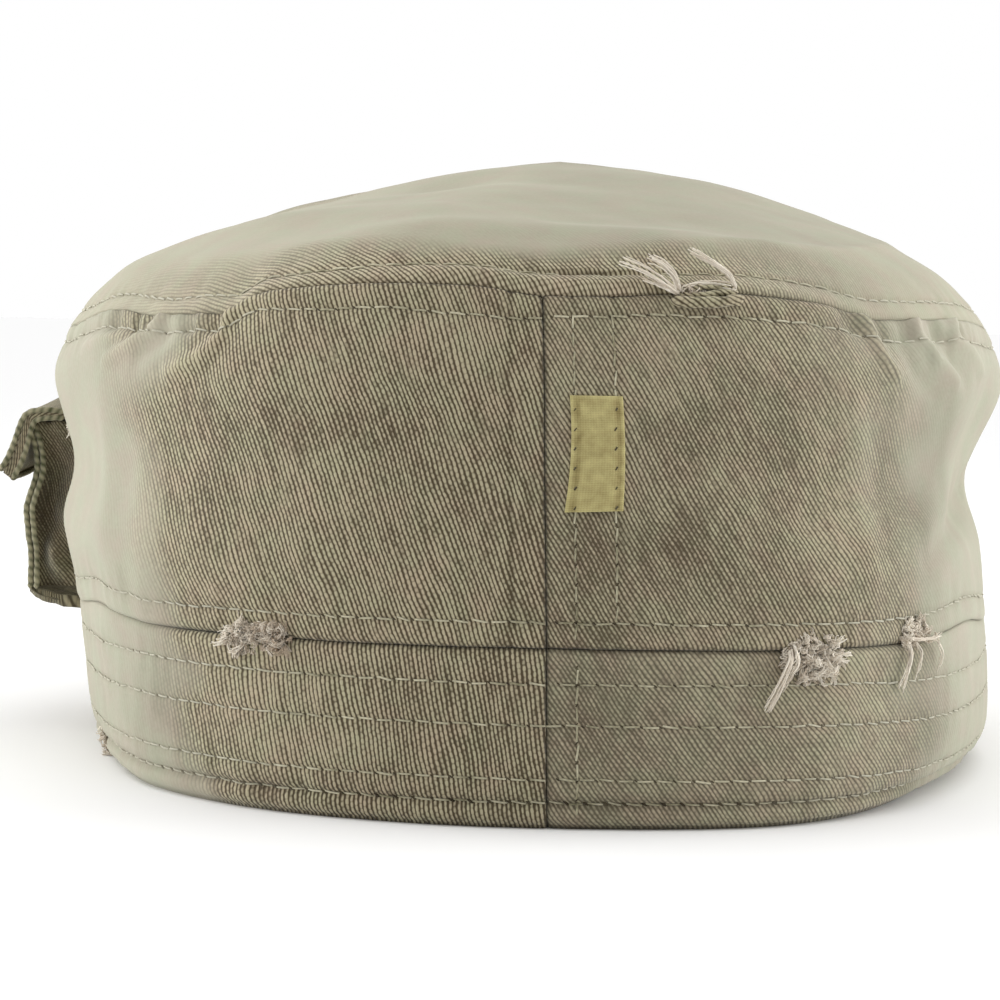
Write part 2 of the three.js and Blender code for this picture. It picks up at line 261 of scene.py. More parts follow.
def lengths_along(points, axis=0):
    """How far each point of a line, or of each line of a grid, is from its start"""
    steps = np.linalg.norm(np.diff(points, axis=axis), axis=-1)
    start = np.zeros_like(np.take(steps, [0], axis))
    return np.concatenate([start, np.cumsum(steps, axis)], axis)


def ridge(distance, width):
    """A soft round line of height 1 and of a half width"""
    return np.exp(-((distance / width) ** 2))


def soft_noise(x, y, seed):
    """Smooth noise from -1 to 1 with one swell for each unit of x and y"""
    size = 64
    lattice = np.random.default_rng(seed).uniform(-1, 1, (size, size))
    x, y = np.broadcast_arrays(np.asarray(x, float), np.asarray(y, float))
    column = np.floor(x).astype(int)
    row = np.floor(y).astype(int)
    across = x - column
    along = y - row
    across = across * across * (3 - 2 * across)
    along = along * along * (3 - 2 * along)
    corner = [lattice[(row + dy) % size, (column + dx) % size] for dy in (0, 1) for dx in (0, 1)]
    lower = corner[0] + (corner[1] - corner[0]) * across
    upper = corner[2] + (corner[3] - corner[2]) * across
    return lower + (upper - lower) * along


class Value:
    """A socket of a material's tree, so that its maths can be written as an expression"""

    def __init__(self, tree, socket):
        self.tree = tree
        self.socket = socket

    def node(self, kind, inputs, settings=None, output=0):
        made = self.tree.nodes.new(kind)
        for name, setting in (settings or {}).items():
            setattr(made, name, setting)
        for name, given in inputs.items():
            if isinstance(given, Value):
                self.tree.links.new(given.socket, made.inputs[name])
            else:
                made.inputs[name].default_value = given
        return Value(self.tree, made.outputs[output]) if made.outputs else None

    def maths(self, operation, *others):
        inputs = {0: self, **{place + 1: other for place, other in enumerate(others)}}
        return self.node("ShaderNodeMath", inputs, {"operation": operation})

    def maths_from(self, operation, first):
        return self.node("ShaderNodeMath", {0: first, 1: self}, {"operation": operation})

    def __add__(self, other):
        return self.maths("ADD", other)

    def __radd__(self, other):
        return self.maths_from("ADD", other)

    def __sub__(self, other):
        return self.maths("SUBTRACT", other)

    def __rsub__(self, other):
        return self.maths_from("SUBTRACT", other)

    def __mul__(self, other):
        return self.maths("MULTIPLY", other)

    def __rmul__(self, other):
        return self.maths_from("MULTIPLY", other)

    def __truediv__(self, other):
        return self.maths("DIVIDE", other)

    def clamped(self):
        return self.node("ShaderNodeClamp", {0: self})

    def mix(self, first, second):
        """One colour where this value is 0, another where it is 1"""
        return self.node("ShaderNodeMix", {0: self, 6: first, 7: second}, {"data_type": "RGBA"}, output=2)

    def multiplied(self, other):
        """This colour times another"""
        return self.node("ShaderNodeVectorMath", {0: self, 1: other}, {"operation": "MULTIPLY"})


def new_material(name):
    material = bpy.data.materials.new(name)
    material.use_nodes = True
    tree = material.node_tree
    tree.nodes.clear()
    return material, Value(tree, None)


def finish_cloth(tree, colour, normal):
    """The cloth's shader: rough, with the pale bloom of fine loose fibres"""
    sockets = {
        "Base Color": colour,
        "Roughness": 0.92,
        "Normal": normal,
        "Specular IOR Level": 0.12,
        "Sheen Weight": 0.25,
        "Sheen Roughness": 0.5,
        "Sheen Tint": (0.95, 0.95, 0.86, 1),
    }
    shader = tree.node("ShaderNodeBsdfPrincipled", sockets)
    tree.node("ShaderNodeOutputMaterial", {"Surface": shader})


CLOTH_DARK = (0.08, 0.061, 0.036)
CLOTH_LIGHT = (0.45, 0.4, 0.28)
# Pale colours for cloth that is not crisp: painted light, for the sides and the top that the lamps wash out
LIT_PALE_DARK = (0.27, 0.255, 0.195)
LIT_PALE_LIGHT = (0.47, 0.455, 0.37)
GREEN_TINGE = (0.96, 1.0, 0.94, 1)
ROSY_TINGE = (1.0, 0.94, 0.93, 1)
FLOAT_LENGTH = 1.3
FLOAT_OFFSET = 0.371
FLOAT_BULGE = 0.34
WEAVE_MIDDLE = 0.54
WEAVE_CONTRAST = 1.75
WEAVE_HEIGHT = 0.16
TWILL_NOISES = named_rows(
    "name across along detail seed",
    ("drift", 0.09, 0.06, 1.0, 3.0),
    ("wobble", 0.7, 0.5, 1.0, 5.0),
    ("streaks", 1.55, 0.14, 2.0, 9.0),
    ("flecks", 1.9, 1.1, 3.0, 13.0),
    ("mottle", 0.055, 0.05, 3.0, 17.0),
    ("tinge", 0.16, 0.15, 3.0, 23.0),
    ("patches", 0.22, 0.16, 2.0, 29.0),
)


def cloth_place(tree):
    """The two directions of a piece's cloth map"""
    place = tree.node("ShaderNodeUVMap", {}, {"uv_map": "cloth"})
    return [tree.node("ShaderNodeSeparateXYZ", {0: place}, output=axis) for axis in (0, 1)]


def read_value(tree, name):
    """A value that the piece carries at each of its points"""
    return tree.node("ShaderNodeAttribute", {}, {"attribute_name": name}, output=2)


def twill_noise(tree, across, along, row):
    """Noise about 0, stretched along the wales"""
    place = {0: across * row["across"], 1: along * row["along"], 2: row["seed"]}
    spot = tree.node("ShaderNodeCombineXYZ", place)
    sockets = {"Vector": spot, "Scale": 1.0, "Detail": row["detail"], "Roughness": 0.6}
    return tree.node("ShaderNodeTexNoise", sockets, {"noise_dimensions": "3D"}) - 0.5


def twill_material(name, dark, light, wale, lit_pale_light=LIT_PALE_LIGHT):
    """Washed twill on a cloth map in millimetres, whose second axis runs along the wales.
    Each wale is a ridge of short floats, worn pale on top and darker in its hollows."""
    material, tree = new_material(name)
    across, along = cloth_place(tree)
    noise = {row["name"]: twill_noise(tree, across, along, row) for row in TWILL_NOISES}
    streaks, flecks, mottle = (noise[part] for part in ("streaks", "flecks", "mottle"))
    phase = (across + noise["drift"] * 1.8 + noise["wobble"] * 0.26) / wale
    wale_index = phase.maths("FLOOR")
    ridge_height = ((phase - wale_index) * math.pi).maths("SINE")
    float_place = along / (wale * FLOAT_LENGTH) + wale_index * FLOAT_OFFSET
    float_bulge = (float_place.maths("FRACT") * math.pi).maths("SINE")
    thread = ridge_height * (float_bulge * FLOAT_BULGE + (1 - FLOAT_BULGE))
    # Each float gets a random brightness: uneven yarn, and painted glints on the floats
    glint_spot = tree.node("ShaderNodeCombineXYZ", {0: wale_index, 1: float_place.maths("FLOOR")})
    glint_dashes = tree.node("ShaderNodeTexWhiteNoise", {"Vector": glint_spot}, {"noise_dimensions": "2D"}) - 0.5
    crisp = read_value(tree, "crisp")
    # The wear of the cloth, with the painted light and shade of its creases, folds and tucks
    wear_and_painted_light = read_value(tree, "wear_and_painted_light")
    patchy = (noise["patches"] * 1.7 + 1.0).clamped()
    weave = (thread - WEAVE_MIDDLE) * WEAVE_CONTRAST * patchy
    weave = weave + streaks * 1.3 + flecks * 0.9 + glint_dashes * thread * 0.4
    tone = (weave * crisp + mottle * 0.6 + wear_and_painted_light + 0.38).clamped()
    cloth = tone.mix((*dark, 1), (*light, 1))
    # Where the cloth is less crisp its colour is mixed towards the pale ones: painted light on the sides
    # and top
    lit_pale_share = ((0.9 - crisp) * 1.45).clamped()
    pale_tone = (flecks * 0.35 + mottle * 0.5 + wear_and_painted_light + 0.5).clamped()
    cloth = lit_pale_share.mix(cloth, pale_tone.mix((*LIT_PALE_DARK, 1), (*lit_pale_light, 1)))
    tinge = (noise["tinge"] * 3.2 + 0.48).clamped()
    cloth = tinge.mix(GREEN_TINGE, ROSY_TINGE).multiplied(cloth)
    height = (thread * 0.75 + streaks * 0.35 + flecks * 0.5 + glint_dashes * 0.3) * crisp
    normal = tree.node("ShaderNodeBump", {"Strength": 0.8, "Distance": WEAVE_HEIGHT * MM, "Height": height})
    finish_cloth(tree, cloth, normal)
    return material


WALE = 0.69
crown_twill = twill_material("crown twill", CLOTH_DARK, CLOTH_LIGHT, WALE)


def add_mesh(name, points, faces, material, values=None, cloth_map=None):
    """A smooth piece from its points in millimetres, with a value at each point and
    with a cloth map if it has one"""
    mesh = bpy.data.meshes.new(name)
    mesh.from_pydata((points * MM).tolist(), [], faces)
    for label, numbers in (values or {}).items():
        attribute = mesh.attributes.new(label, "FLOAT", "POINT")
        attribute.data.foreach_set("value", np.asarray(numbers, np.float32))
    if cloth_map is not None:
        corners = np.empty(len(mesh.loops), int)
        mesh.loops.foreach_get("vertex_index", corners)
        layer = mesh.uv_layers.new(name="cloth")
        layer.data.foreach_set("uv", cloth_map[corners].astype(np.float32).ravel())
    mesh.polygons.foreach_set("use_smooth", np.ones(len(mesh.polygons), bool))
    mesh.materials.append(material)
    piece = bpy.data.objects.new(name, mesh)
    bpy.context.collection.objects.link(piece)
    return piece


def sheet_piece(name, outer, inner, material, cloth_map, wear_and_painted_light=0.0, crisp=1.0, middle=None):
    """A closed sheet from its outer and inner faces, each rows of points that run upwards
    or inwards. With a middle, the rows are whole rings that close on it."""
    rows, columns = outer.shape[:2]
    index = np.arange(rows * columns).reshape(rows, columns)
    if middle is not None:
        index = np.concatenate([index, index[:, :1]], 1)
    within = index + rows * columns

    def quads(*corners):
        return np.stack(corners, -1).reshape(-1, 4).tolist()

    faces = quads(index[:-1, :-1], index[1:, :-1], index[1:, 1:], index[:-1, 1:])
    faces += quads(within[:-1, :-1], within[:-1, 1:], within[1:, 1:], within[1:, :-1])
    faces += quads(index[0, :-1], index[0, 1:], within[0, 1:], within[0, :-1])
    points = [outer.reshape(-1, 3), inner.reshape(-1, 3)]
    maps = [cloth_map.reshape(-1, 2)] * 2
    values = {}
    for label, value in (("wear_and_painted_light", wear_and_painted_light), ("crisp", crisp)):
        values[label] = [np.broadcast_to(value, (rows, columns)).reshape(-1)] * 2
    if middle is None:
        faces += quads(index[-1, :-1], within[-1, :-1], within[-1, 1:], index[-1, 1:])
        faces += quads(index[:-1, 0], within[:-1, 0], within[1:, 0], index[1:, 0])
        faces += quads(index[:-1, -1], index[1:, -1], within[1:, -1], within[:-1, -1])
    else:
        centre = 2 * rows * columns
        faces += [[here, centre, after] for here, after in zip(index[-1, :-1], index[-1, 1:])]
        faces += [[here, after, centre + 1] for here, after in zip(within[-1, :-1], within[-1, 1:])]
        points.append(middle)
        maps.append(np.zeros((2, 2)))
        values["wear_and_painted_light"].append([0, 0])
        values["crisp"].append([0.5, 0.5])
    values = {label: np.concatenate(parts) for label, parts in values.items()}
    return add_mesh(name, np.concatenate(points), faces, material, values, np.concatenate(maps))


def keep(piece, node=None):
    """Hand a finished piece over, in place of a modelled part if it redraws one"""
    if node:
        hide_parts(node)
    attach(piece, "root")


def swayed(angle, ring):
    """An angle of the wall's cloth, carried aside where the back sways"""
    share = np.maximum(np.cos(np.radians(angle)), 0) ** 4
    return angle + BACK_SWAY * (np.minimum(ring, TOP_SEAM) - SWAY_MIDDLE) * share


def spaced_out(length, step, fine_step, spots):
    """Places along a length, a step apart but closer together around some spots"""
    samples = 3000
    fine_reach = 1.5
    fine = np.linspace(0, length, samples)
    near = np.max([ridge(fine - spot, fine_reach) for spot in spots], axis=0)
    count = np.concatenate([[0], np.cumsum(fine[1] / (step - (step - fine_step) * near[:-1]))])
    return np.interp(np.linspace(0, count[-1], math.ceil(count[-1]) + 1), count, fine)


def turned_map(x, y, turn):
    """A cloth map for wales that lean by a turn from the first direction"""
    lean = math.radians(turn)
    return np.stack([x * math.sin(lean) - y * math.cos(lean), x * math.cos(lean) + y * math.sin(lean)], -1)


CLOTH_SAMPLES = 500
RISE_SAMPLES = 160
FINE_STEP_ACROSS = 0.4
FINE_STEP_UP = 0.32


class Cloth:
    """The grid of a wall piece: its skin, and the distances over it from its edges. The
    low and high distances are those of its rows of stitches from either edge."""

    def __init__(self, start, end, lower, upper, low, high, upright, step):
        angles = np.linspace(start, end, CLOTH_SAMPLES)
        lengths = lengths_along(skin(swayed(angles, SWAY_MIDDLE), SWAY_MIDDLE))
        half = SEAM_GAP / 2
        self.width = lengths[-1]
        seams_and_rows = [0, self.width, *upright]
        places = half + spaced_out(self.width - SEAM_GAP, step, FINE_STEP_ACROSS, seams_and_rows)
        columns = np.interp(places, lengths, angles)
        rings = np.linspace(lower, upper, RISE_SAMPLES)[:, None]
        rise = lengths_along(skin(swayed(columns[None], rings), rings))
        middle = rise[-1, len(columns) // 2]
        edges_and_rows = [0, middle, *low, *(middle - np.array(high))]
        levels = half + spaced_out(middle - SEAM_GAP, step, FINE_STEP_UP, edges_and_rows)
        levels[0] = 0 if lower == RIM else levels[0]
        low_end = max(low) + 1
        high_end = max(high) + 1
        self.up = np.empty((len(levels), len(columns)))
        self.ring = np.empty_like(self.up)
        for column, total in enumerate(rise[-1]):
            knots = [0, low_end, total - high_end, total]
            self.up[:, column] = np.interp(levels, [0, low_end, middle - high_end, middle], knots)
            self.ring[:, column] = np.interp(self.up[:, column], rise[:, column], rings[:, 0])
        self.down = rise[-1] - self.up
        self.angle = swayed(np.repeat(columns[None], len(levels), 0), self.ring)
        self.base = skin(self.angle, self.ring)
        self.normal = outward(self.angle, self.ring)
        self.from_start = np.repeat(places[None], len(levels), 0)
        self.from_end = self.width - self.from_start

    def raise_by(self, relief):
        self.outer = self.base + self.normal * relief[..., None]

    def inner(self, thickness):
        return self.base - self.normal * thickness

    def level_line(self, distances, distance):
        """The line over the cloth that keeps one distance from an edge"""
        line = []
        for column in range(self.up.shape[1]):
            order = np.argsort(distances[:, column])
            known = distances[order, column]
            place = [np.interp(distance, known, self.outer[order, column, axis]) for axis in range(3)]
            out = [np.interp(distance, known, self.normal[order, column, axis]) for axis in range(3)]
            line.append([place, out])
        return np.array(line)

    def upright_line(self, distances, distance, lowest, highest, label=(0, 0, 0)):
        """The line up the cloth at a distance from its side, between two heights, and
        over a label that lies between two more and has a thickness"""
        column = np.argmin(np.abs(distances[0] - distance))
        up = self.up[:, column]
        over = np.where((up > label[0]) & (up < label[1]), label[2], 0)[:, None]
        points = self.outer[:, column] + self.normal[:, column] * over
        chosen = (up >= lowest) & (self.down[:, column] >= highest)
        return np.stack([points[chosen], self.normal[chosen, column]], 1)


# The crisp weave of the back: how many degrees it reaches and how its edge leans. Past it the cloth is
# painted pale, for the light on the sides.
CRISP_LEFT = 44
CRISP_RIGHT = 38
CRISP_POWER = 11
CRISP_LEAST = 0.12
CRISP_WANDER = 3.5
CRISP_LEVEL = 30
LEAN_LEFT = 0.26
LEAN_RIGHT = 0.12
RIGHT_FINENESS = 1.09
WALE_SPREAD = 75
# The weave of the front, and a shift that keeps the marks of the back off its panel
FRONT_CRISP = 0.5
FRONT_FROM = 2
FRONT_FADE = 4
FRONT_PLACES = 1000
# The rows of stitches, by their distances from the seams
STITCH_LOWER = 4.1
UPPER_ROW_SPAN = (3.6, 4.6)
UPPER_ROW = named_rows(
    "side down",
    (-60, 3.7),
    (-50, 4),
    (-30, 4.2),
    (-14, 3.2),
    (-2, 3.4),
    (7, 4.6),
    (14, 4.8),
    (24, 4),
    (36, 4),
    (48, 3),
)
TWIN_ROWS = (4.7, 11.1)
ROW_MARGIN = 0.8
FRONT_ROW = 2.2
ALLOWANCE_EDGE = 5.2
# Folds along paths of places beside the back seam and above the band; their tone is painted
# light, a highlight on a crest and shade in a hollow
FOLDS = named_rows(
    "path width height tone",
    ([(51.5, 55), (54.4, 52.5), (55.4, 49), (57.8, 45.2), (61.7, 43.2), (67.3, 41.5)], 1.5, 1.0, 0.4),
    ([(53.5, 47), (56, 43), (61, 40.5)], 2.4, -0.3, 0),
    ([(73.3, 52.1), (74.5, 49.2), (83.5, 44.8), (91, 42.1)], 1.4, 1.2, 0.25),
    ([(71, 47.5), (78, 43.5)], 2.2, -0.7, -0.1),
    ([(87.2, 46.4), (104.4, 44.5)], 1.4, 0.9, 0.2),
    ([(-56.9, 54.5), (-58.3, 51), (-60.5, 45.5), (-62.8, 43.3)], 1.3, 1.1, 0.22),
    ([(-73.4, 54), (-72.6, 50.4), (-75.6, 45.9), (-83, 42.3)], 1.5, 1.3, 0.25),
    ([(-88.1, 54), (-86.4, 49.3), (-98.4, 43.9)], 1.6, 1.3, 0.22),
    ([(-66, 50), (-69, 44), (-75, 40)], 2.6, -0.8, -0.1),
    ([(-80, 50), (-83, 46), (-89, 42)], 2.4, -0.8, -0.1),
    ([(-121, 23.5), (-98, 18), (-73, 13)], 3, -1.2, -0.05),
    ([(-120, 29), (-96, 24), (-74, 19)], 4, 0.7, 0),
    ([(75, 27), (74, 8)], 5, 0.7, 0.1),
    ([(92, 34), (88, 6)], 5, 0.7, 0),
    ([(-52, 40), (-55, 14)], 4, 0.6, 0.12),
)
# Patches that are darker or paler, and patches smoothed and painted pale for side light
TONE_PATCHES = named_rows(
    "side up turn length width tone rub",
    (30, 33.5, 0, 13, 4, -0.22, 0),
    (-25, 34, 0, 8, 6, -0.22, 0),
    (-38.5, 33, 80, 8, 4.5, -0.22, 0),
    (-21, 16.5, -10, 10, 5.5, -0.26, 0),
    (-6.5, 14, 90, 12, 5, -0.24, 0),
    (3.5, 13, 90, 12, 4, -0.2, 0),
    (-8, -10, 90, 13, 9, -0.24, 0),
    (5, -17, 0, 8, 5, -0.14, 0),
    (56, 22, 90, 12, 5, -0.2, 0),
    (22.5, -14.5, 90, 8, 4, -0.16, 0),
    (12.8, -14.5, 90, 8, 4, -0.16, 0),
    (72, 47, -35, 13, 7, 0.02, 0.75),
    (72, 16, 90, 10, 4, 0.12, 0.3),
    (15, 30, 90, 9, 4, 0.1, 0),
    (11, 47.5, 80, 6, 4, 0.2, 0),
    (38, 43, 0, 7, 4, 0.16, 0),
    (31, 23.5, 80, 9, 5, 0.14, 0),
    (43, -8, 0, 8, 4, 0.12, 0),
    (36, -17, 0, 12, 4, 0.22, 0),
    (-17.5, 46, 0, 5, 4, 0.1, 0),
    (-33, 46, 80, 5, 4, 0.1, 0),
    (-46.5, 17, 90, 8, 5, 0.18, 0),
    (-60, 25, 90, 22, 4.5, -0.22, 0),
    (-74, 28, 90, 20, 7, -0.22, 0),
    (-74, -12, 90, 13, 9, -0.2, 0),
    (-50, -12, 90, 12, 6, 0.16, 0),
    (74, -12, 90, 13, 9, -0.22, 0),
    (-82, 34, 75, 10, 5, -0.22, 0),
    (-85, 28, 80, 14, 8, -0.3, 0),
)
# The relief of seams, swells, pleats and tucks, with their wear and the painted shade in their creases and
# tucks
SWELLS = named_rows(
    "height along up seed",
    (0.3, 15, 19, 2),
    (0.14, 5, 8, 3),
)
ROLL_WIDTH = 0.42
ROLL_SWELL = dict(height=0.16, place=1.6, width=1.0)
ROLL_AT_SIDES = 0.15
GROOVE_WIDTH = 0.5
PUCKER = dict(height=0.16, length=1.7, fall=9, reach=4.5)
PLEAT_HEIGHT = 0.3
PLEAT_BAND = 2.2
SEAM_DIP = 0.65
SEAM_DIP_WIDTH = 0.4
FRAY_DIP = 0.7
FRAY_PALE = 0.16
CREASE_SHADE = 0.4
SWELL_PALE = 0.08
TUCK_DIP = 0.7
# Painted shade on the tucks under the top seam
TUCK_SHADE = 0.22
TUCK_LEAN = 0.25
TUCK_LENGTH = 1.9
TUCKS = named_rows(
    "side width",
    (-53, 2.5),
    (-61.4, 1.5),
    (-69, 2.3),
    (-79.6, 2.4),
    (-90.6, 1.5),
    (59, 2.6),
    (65.8, 2.2),
    (78.8, 1.5),
    (84.3, 1.4),
    (93.9, 2.4),
)
# The frays: where they are, their size, and their clumps of fibres
FRAYS = named_rows(
    "name angle ring width height clumps hang pale pale_side",
    ("pocket_fray", 83.5, 4.36, 1.4, 1.4, 12, 0.8, 0.2, 0),
    ("left_fray", 25.9, 2.0, 7.1, 2.9, 140, 0.2, -0.05, 0.3),
    ("middle_fray", -25.5, 1.95, 6.0, 3.7, 150, 0.8, 0.1, -0.15),
    ("right_fray", -38.8, 2.1, 4.9, 2.2, 75, 0.5, 0.2, 0),
    ("top_fray", -15.4, 6.02, 4.4, 0.9, 30, 0.2, 0, 0),
    ("rim_fray", 66.5, 0.3, 2.4, 3.4, 36, 0.5, 0.15, 0),
)


def fold_shape(side, up):
    """The worn folds of the wall: how far each stands out, and its painted light: a
    highlight on a crest and shade in a hollow"""
    relief = np.zeros_like(side)
    tone = np.zeros_like(side)
    spots = np.stack([side, up], -1)
    for fold in FOLDS:
        away = np.full(side.shape, np.inf)
        route = np.array(fold["path"], float)
        length = 0.0
        for start, end in zip(route[:-1], route[1:]):
            way = end - start
            share = np.clip((spots - start) @ way / (way @ way), 0, 1)
            away = np.minimum(away, np.linalg.norm(spots - start - share[..., None] * way, axis=-1))
            length += np.linalg.norm(way)
        middle = route.mean(0)
        fading = ridge(np.linalg.norm(spots - middle, axis=-1), 0.75 * length + fold["width"])
        crest = ridge(away, fold["width"]) * fading
        relief += fold["height"] * crest
        tone += fold["tone"] * crest
    return relief, tone


def tone_patches(side, up):
    """Where the cloth is darker or paler than round about, and how far it is smoothed and painted pale for
    side light
    """
    tone = np.zeros_like(side)
    rub = np.zeros_like(side)
    for patch in TONE_PATCHES:
        turn = math.radians(patch["turn"])
        along = (side - patch["side"]) * math.cos(turn) + (up - patch["up"]) * math.sin(turn)
        across = (up - patch["up"]) * math.cos(turn) - (side - patch["side"]) * math.sin(turn)
        weight = ridge(along, patch["length"]) * ridge(across, patch["width"])
        tone += patch["tone"] * weight
        rub += patch["rub"] * weight
    return tone, np.clip(rub, 0, 1)


def tuck_depth(side, down):
    """The little tucks that gather the wall under the top seam"""
    depth = np.zeros_like(side)
    for tuck in TUCKS:
        depth += np.exp(-(((side - tuck["side"] + TUCK_LEAN * down) / tuck["width"]) ** 4))
    return depth * np.exp(-(((down - TUCK_LENGTH) / TUCK_LENGTH) ** 4))


def upper_row(side):
    """How far below the top seam the wall's upper row of stitches runs"""
    table = [[row[key] for row in UPPER_ROW] for key in ("side", "down")]
    return np.interp(side, *table)


def crispness(angle):
    """The weave shows crisp at the back and smooth towards the sides, where the cloth is painted pale for
    the side light
    """
    turn = (angle + 180) % 360 - 180
    far = np.abs(turn) / np.where(turn > 0, CRISP_LEFT, CRISP_RIGHT)
    return CRISP_LEAST + (1 - CRISP_LEAST) / (1 + far**CRISP_POWER)


def cloth_crispness(angle, side, up, seed):
    """The crisp back of a piece, with a leaning and uneven edge to it"""
    uneven = CRISP_WANDER * soft_noise(side / 9, up / 7, seed)
    return crispness(angle + np.where(side > 0, LEAN_LEFT, LEAN_RIGHT) * (CRISP_LEVEL - up) + uneven)


def front_crispness(points):
    """The weave that the cloth keeps from the pocket round to the front"""
    return FRONT_CRISP / (1 + np.exp((points[..., 1] - FRONT_FROM) / FRONT_FADE))


def back_map(side, up, turn):
    """A cloth map whose wales are wider apart towards the sides, and finer on the right"""
    fineness = np.where(side > 0, 1, RIGHT_FINENESS)
    return turned_map(fineness * WALE_SPREAD * np.arcsinh(side / WALE_SPREAD), fineness * up, turn)


def seam_roll(distance, angle, depth=0.75):
    """How an edge dips into its seam and swells beside it, less so at the sides"""
    swell = ROLL_SWELL["height"] * ridge(distance - ROLL_SWELL["place"], ROLL_SWELL["width"])
    roll = swell - depth * ridge(distance, ROLL_WIDTH)
    return roll * (ROLL_AT_SIDES + (1 - ROLL_AT_SIDES) * crispness(angle))


def stitch_groove(distance, along, seed, depth=0.3):
    """A row of stitches pulls the cloth in, with a small pucker at each of them"""
    puckers = soft_noise(along / PUCKER["length"], distance / PUCKER["fall"], seed)
    puckers = PUCKER["height"] * puckers * ridge(distance, PUCKER["reach"])
    return puckers - depth * ridge(distance, GROOVE_WIDTH)


def end_dips(cloth):
    """How far a piece dips into the upright seams at its two ends"""
    dips = ridge(cloth.from_start, SEAM_DIP_WIDTH) + ridge(cloth.from_end, SEAM_DIP_WIDTH)
    return SEAM_DIP * dips


def wall_relief(cloth, side, seed):
    """The rolled seams, sunk stitch rows, soft swells, folds and tucks of a crown panel,
    and the painted light of its folds and the painted shade of its tucks"""
    along = cloth.from_start
    relief = seam_roll(cloth.up, cloth.angle) + seam_roll(cloth.down, cloth.angle, depth=0.4)
    relief += stitch_groove(cloth.up - STITCH_LOWER, along, seed)
    relief += stitch_groove(cloth.down - upper_row(side), along, seed + 1)
    pleats = soft_noise((along - cloth.down * 0.4) / 2.6, cloth.down / 9, seed + 4)
    pleats = pleats * (1 - crispness(cloth.angle)) * ridge(cloth.down - PLEAT_BAND, PLEAT_BAND)
    relief += PLEAT_HEIGHT * pleats
    relief -= end_dips(cloth)
    for swell in SWELLS:
        waves = soft_noise(along / swell["along"], cloth.up / swell["up"], seed + swell["seed"])
        relief += swell["height"] * waves
    folds, fold_light_and_shade = fold_shape(side, cloth.up)
    tucks = tuck_depth(side, cloth.down)
    relief += folds - TUCK_DIP * tucks - FRAY_DIP * frayed(cloth.base)
    return relief, fold_light_and_shade - TUCK_SHADE * tucks


def local_axes(angle, ring):
    """A point on the skin and its ways towards the wearer's left, upwards and out"""
    point = skin(angle, ring)
    left = unit(skin(angle + 0.5, ring) - skin(angle - 0.5, ring))
    out = outward(angle, ring)
    return point, np.stack([left, np.cross(left, out), out])


def frayed(points):
    """How worn the cloth is at some points, from 0 to 1 inside a fray"""
    worn = np.zeros(points.shape[:-1])
    for fray in FRAYS:
        origin, axes = local_axes(fray["angle"], fray["ring"])
        offset = (points - origin) @ axes.T / [fray["width"], fray["height"], 6]
        worn += np.exp(-(np.sum(offset**2, -1) ** 1.5))
    return worn


def seam_wear_and_shade(cloth, seed):
    """Paler cloth on the swells beside the seams, where it is worn, and painted shade in the creases"""
    patchy = 0.5 + 0.5 * soft_noise(cloth.from_start / 4, cloth.up / 5, seed)
    pale = ridge(cloth.up - 1.5, 1) + ridge(cloth.down - 1.5, 1)
    # Painted shade: darker in the creases of the seams
    dark = ridge(cloth.up, 0.45) + 0.6 * ridge(cloth.down, 0.4)
    dark += ridge(cloth.from_start, 0.4) + ridge(cloth.from_end, 0.4)
    shaded = CREASE_SHADE * dark * (0.1 + 0.9 * crispness(cloth.angle))
    return SWELL_PALE * pale * patchy - shaded + FRAY_PALE * frayed(cloth.base)


def allowance_wear_and_shade(side, up, seed):
    """The seam allowance that shows through on the left of the back seam: its edge is
    worn pale, with painted shade on the line beyond"""
    worn = 0.5 + 0.5 * soft_noise(side / 3, up / 2.5, seed)
    return 0.3 * ridge(side - ALLOWANCE_EDGE + 0.8, 0.5) * worn - 0.25 * ridge(side - ALLOWANCE_EDGE, 0.4)


def crown_panel(name, node, start, end, turn, contrast, mirrored, upright, seed, step=0.85):
    """One wall panel between two angles. Its wales lean by a turn, its places may be
    counted back from its end, and it can have upright rows of its own."""
    cloth = Cloth(start, end, BAND_SEAM, TOP_SEAM, [STITCH_LOWER], UPPER_ROW_SPAN, upright, step)
    side = -cloth.from_end if mirrored else cloth.from_start
    place = side + FRONT_PLACES * (node == "front_panel")
    relief, fold_light_and_shade = wall_relief(cloth, place, seed)
    for distance in upright:
        relief += stitch_groove(cloth.from_start - distance, cloth.up, seed + 7)
    tone, rub = tone_patches(place, cloth.up)
    # Wear, with the painted light and shade of seams, folds and tucks, and the patches' tone
    wear_and_painted_light = seam_wear_and_shade(cloth, seed) + fold_light_and_shade + tone
    if node == "back_left_panel":
        wear_and_painted_light += allowance_wear_and_shade(side, cloth.up, seed + 9)
    cloth.raise_by(relief)
    grain = back_map(side, cloth.up, turn)
    # Less crisp, and so painted pale for the side light, towards the sides and in the pale-lit patches
    crisp = cloth_crispness(cloth.angle, side, cloth.up, seed + 12) * contrast * (1 - rub)
    crisp += front_crispness(cloth.base)
    piece = sheet_piece(name, cloth.outer, cloth.inner(CROWN_CLOTH), crown_twill, grain, wear_and_painted_light, crisp)
    keep(piece, node)
    return cloth


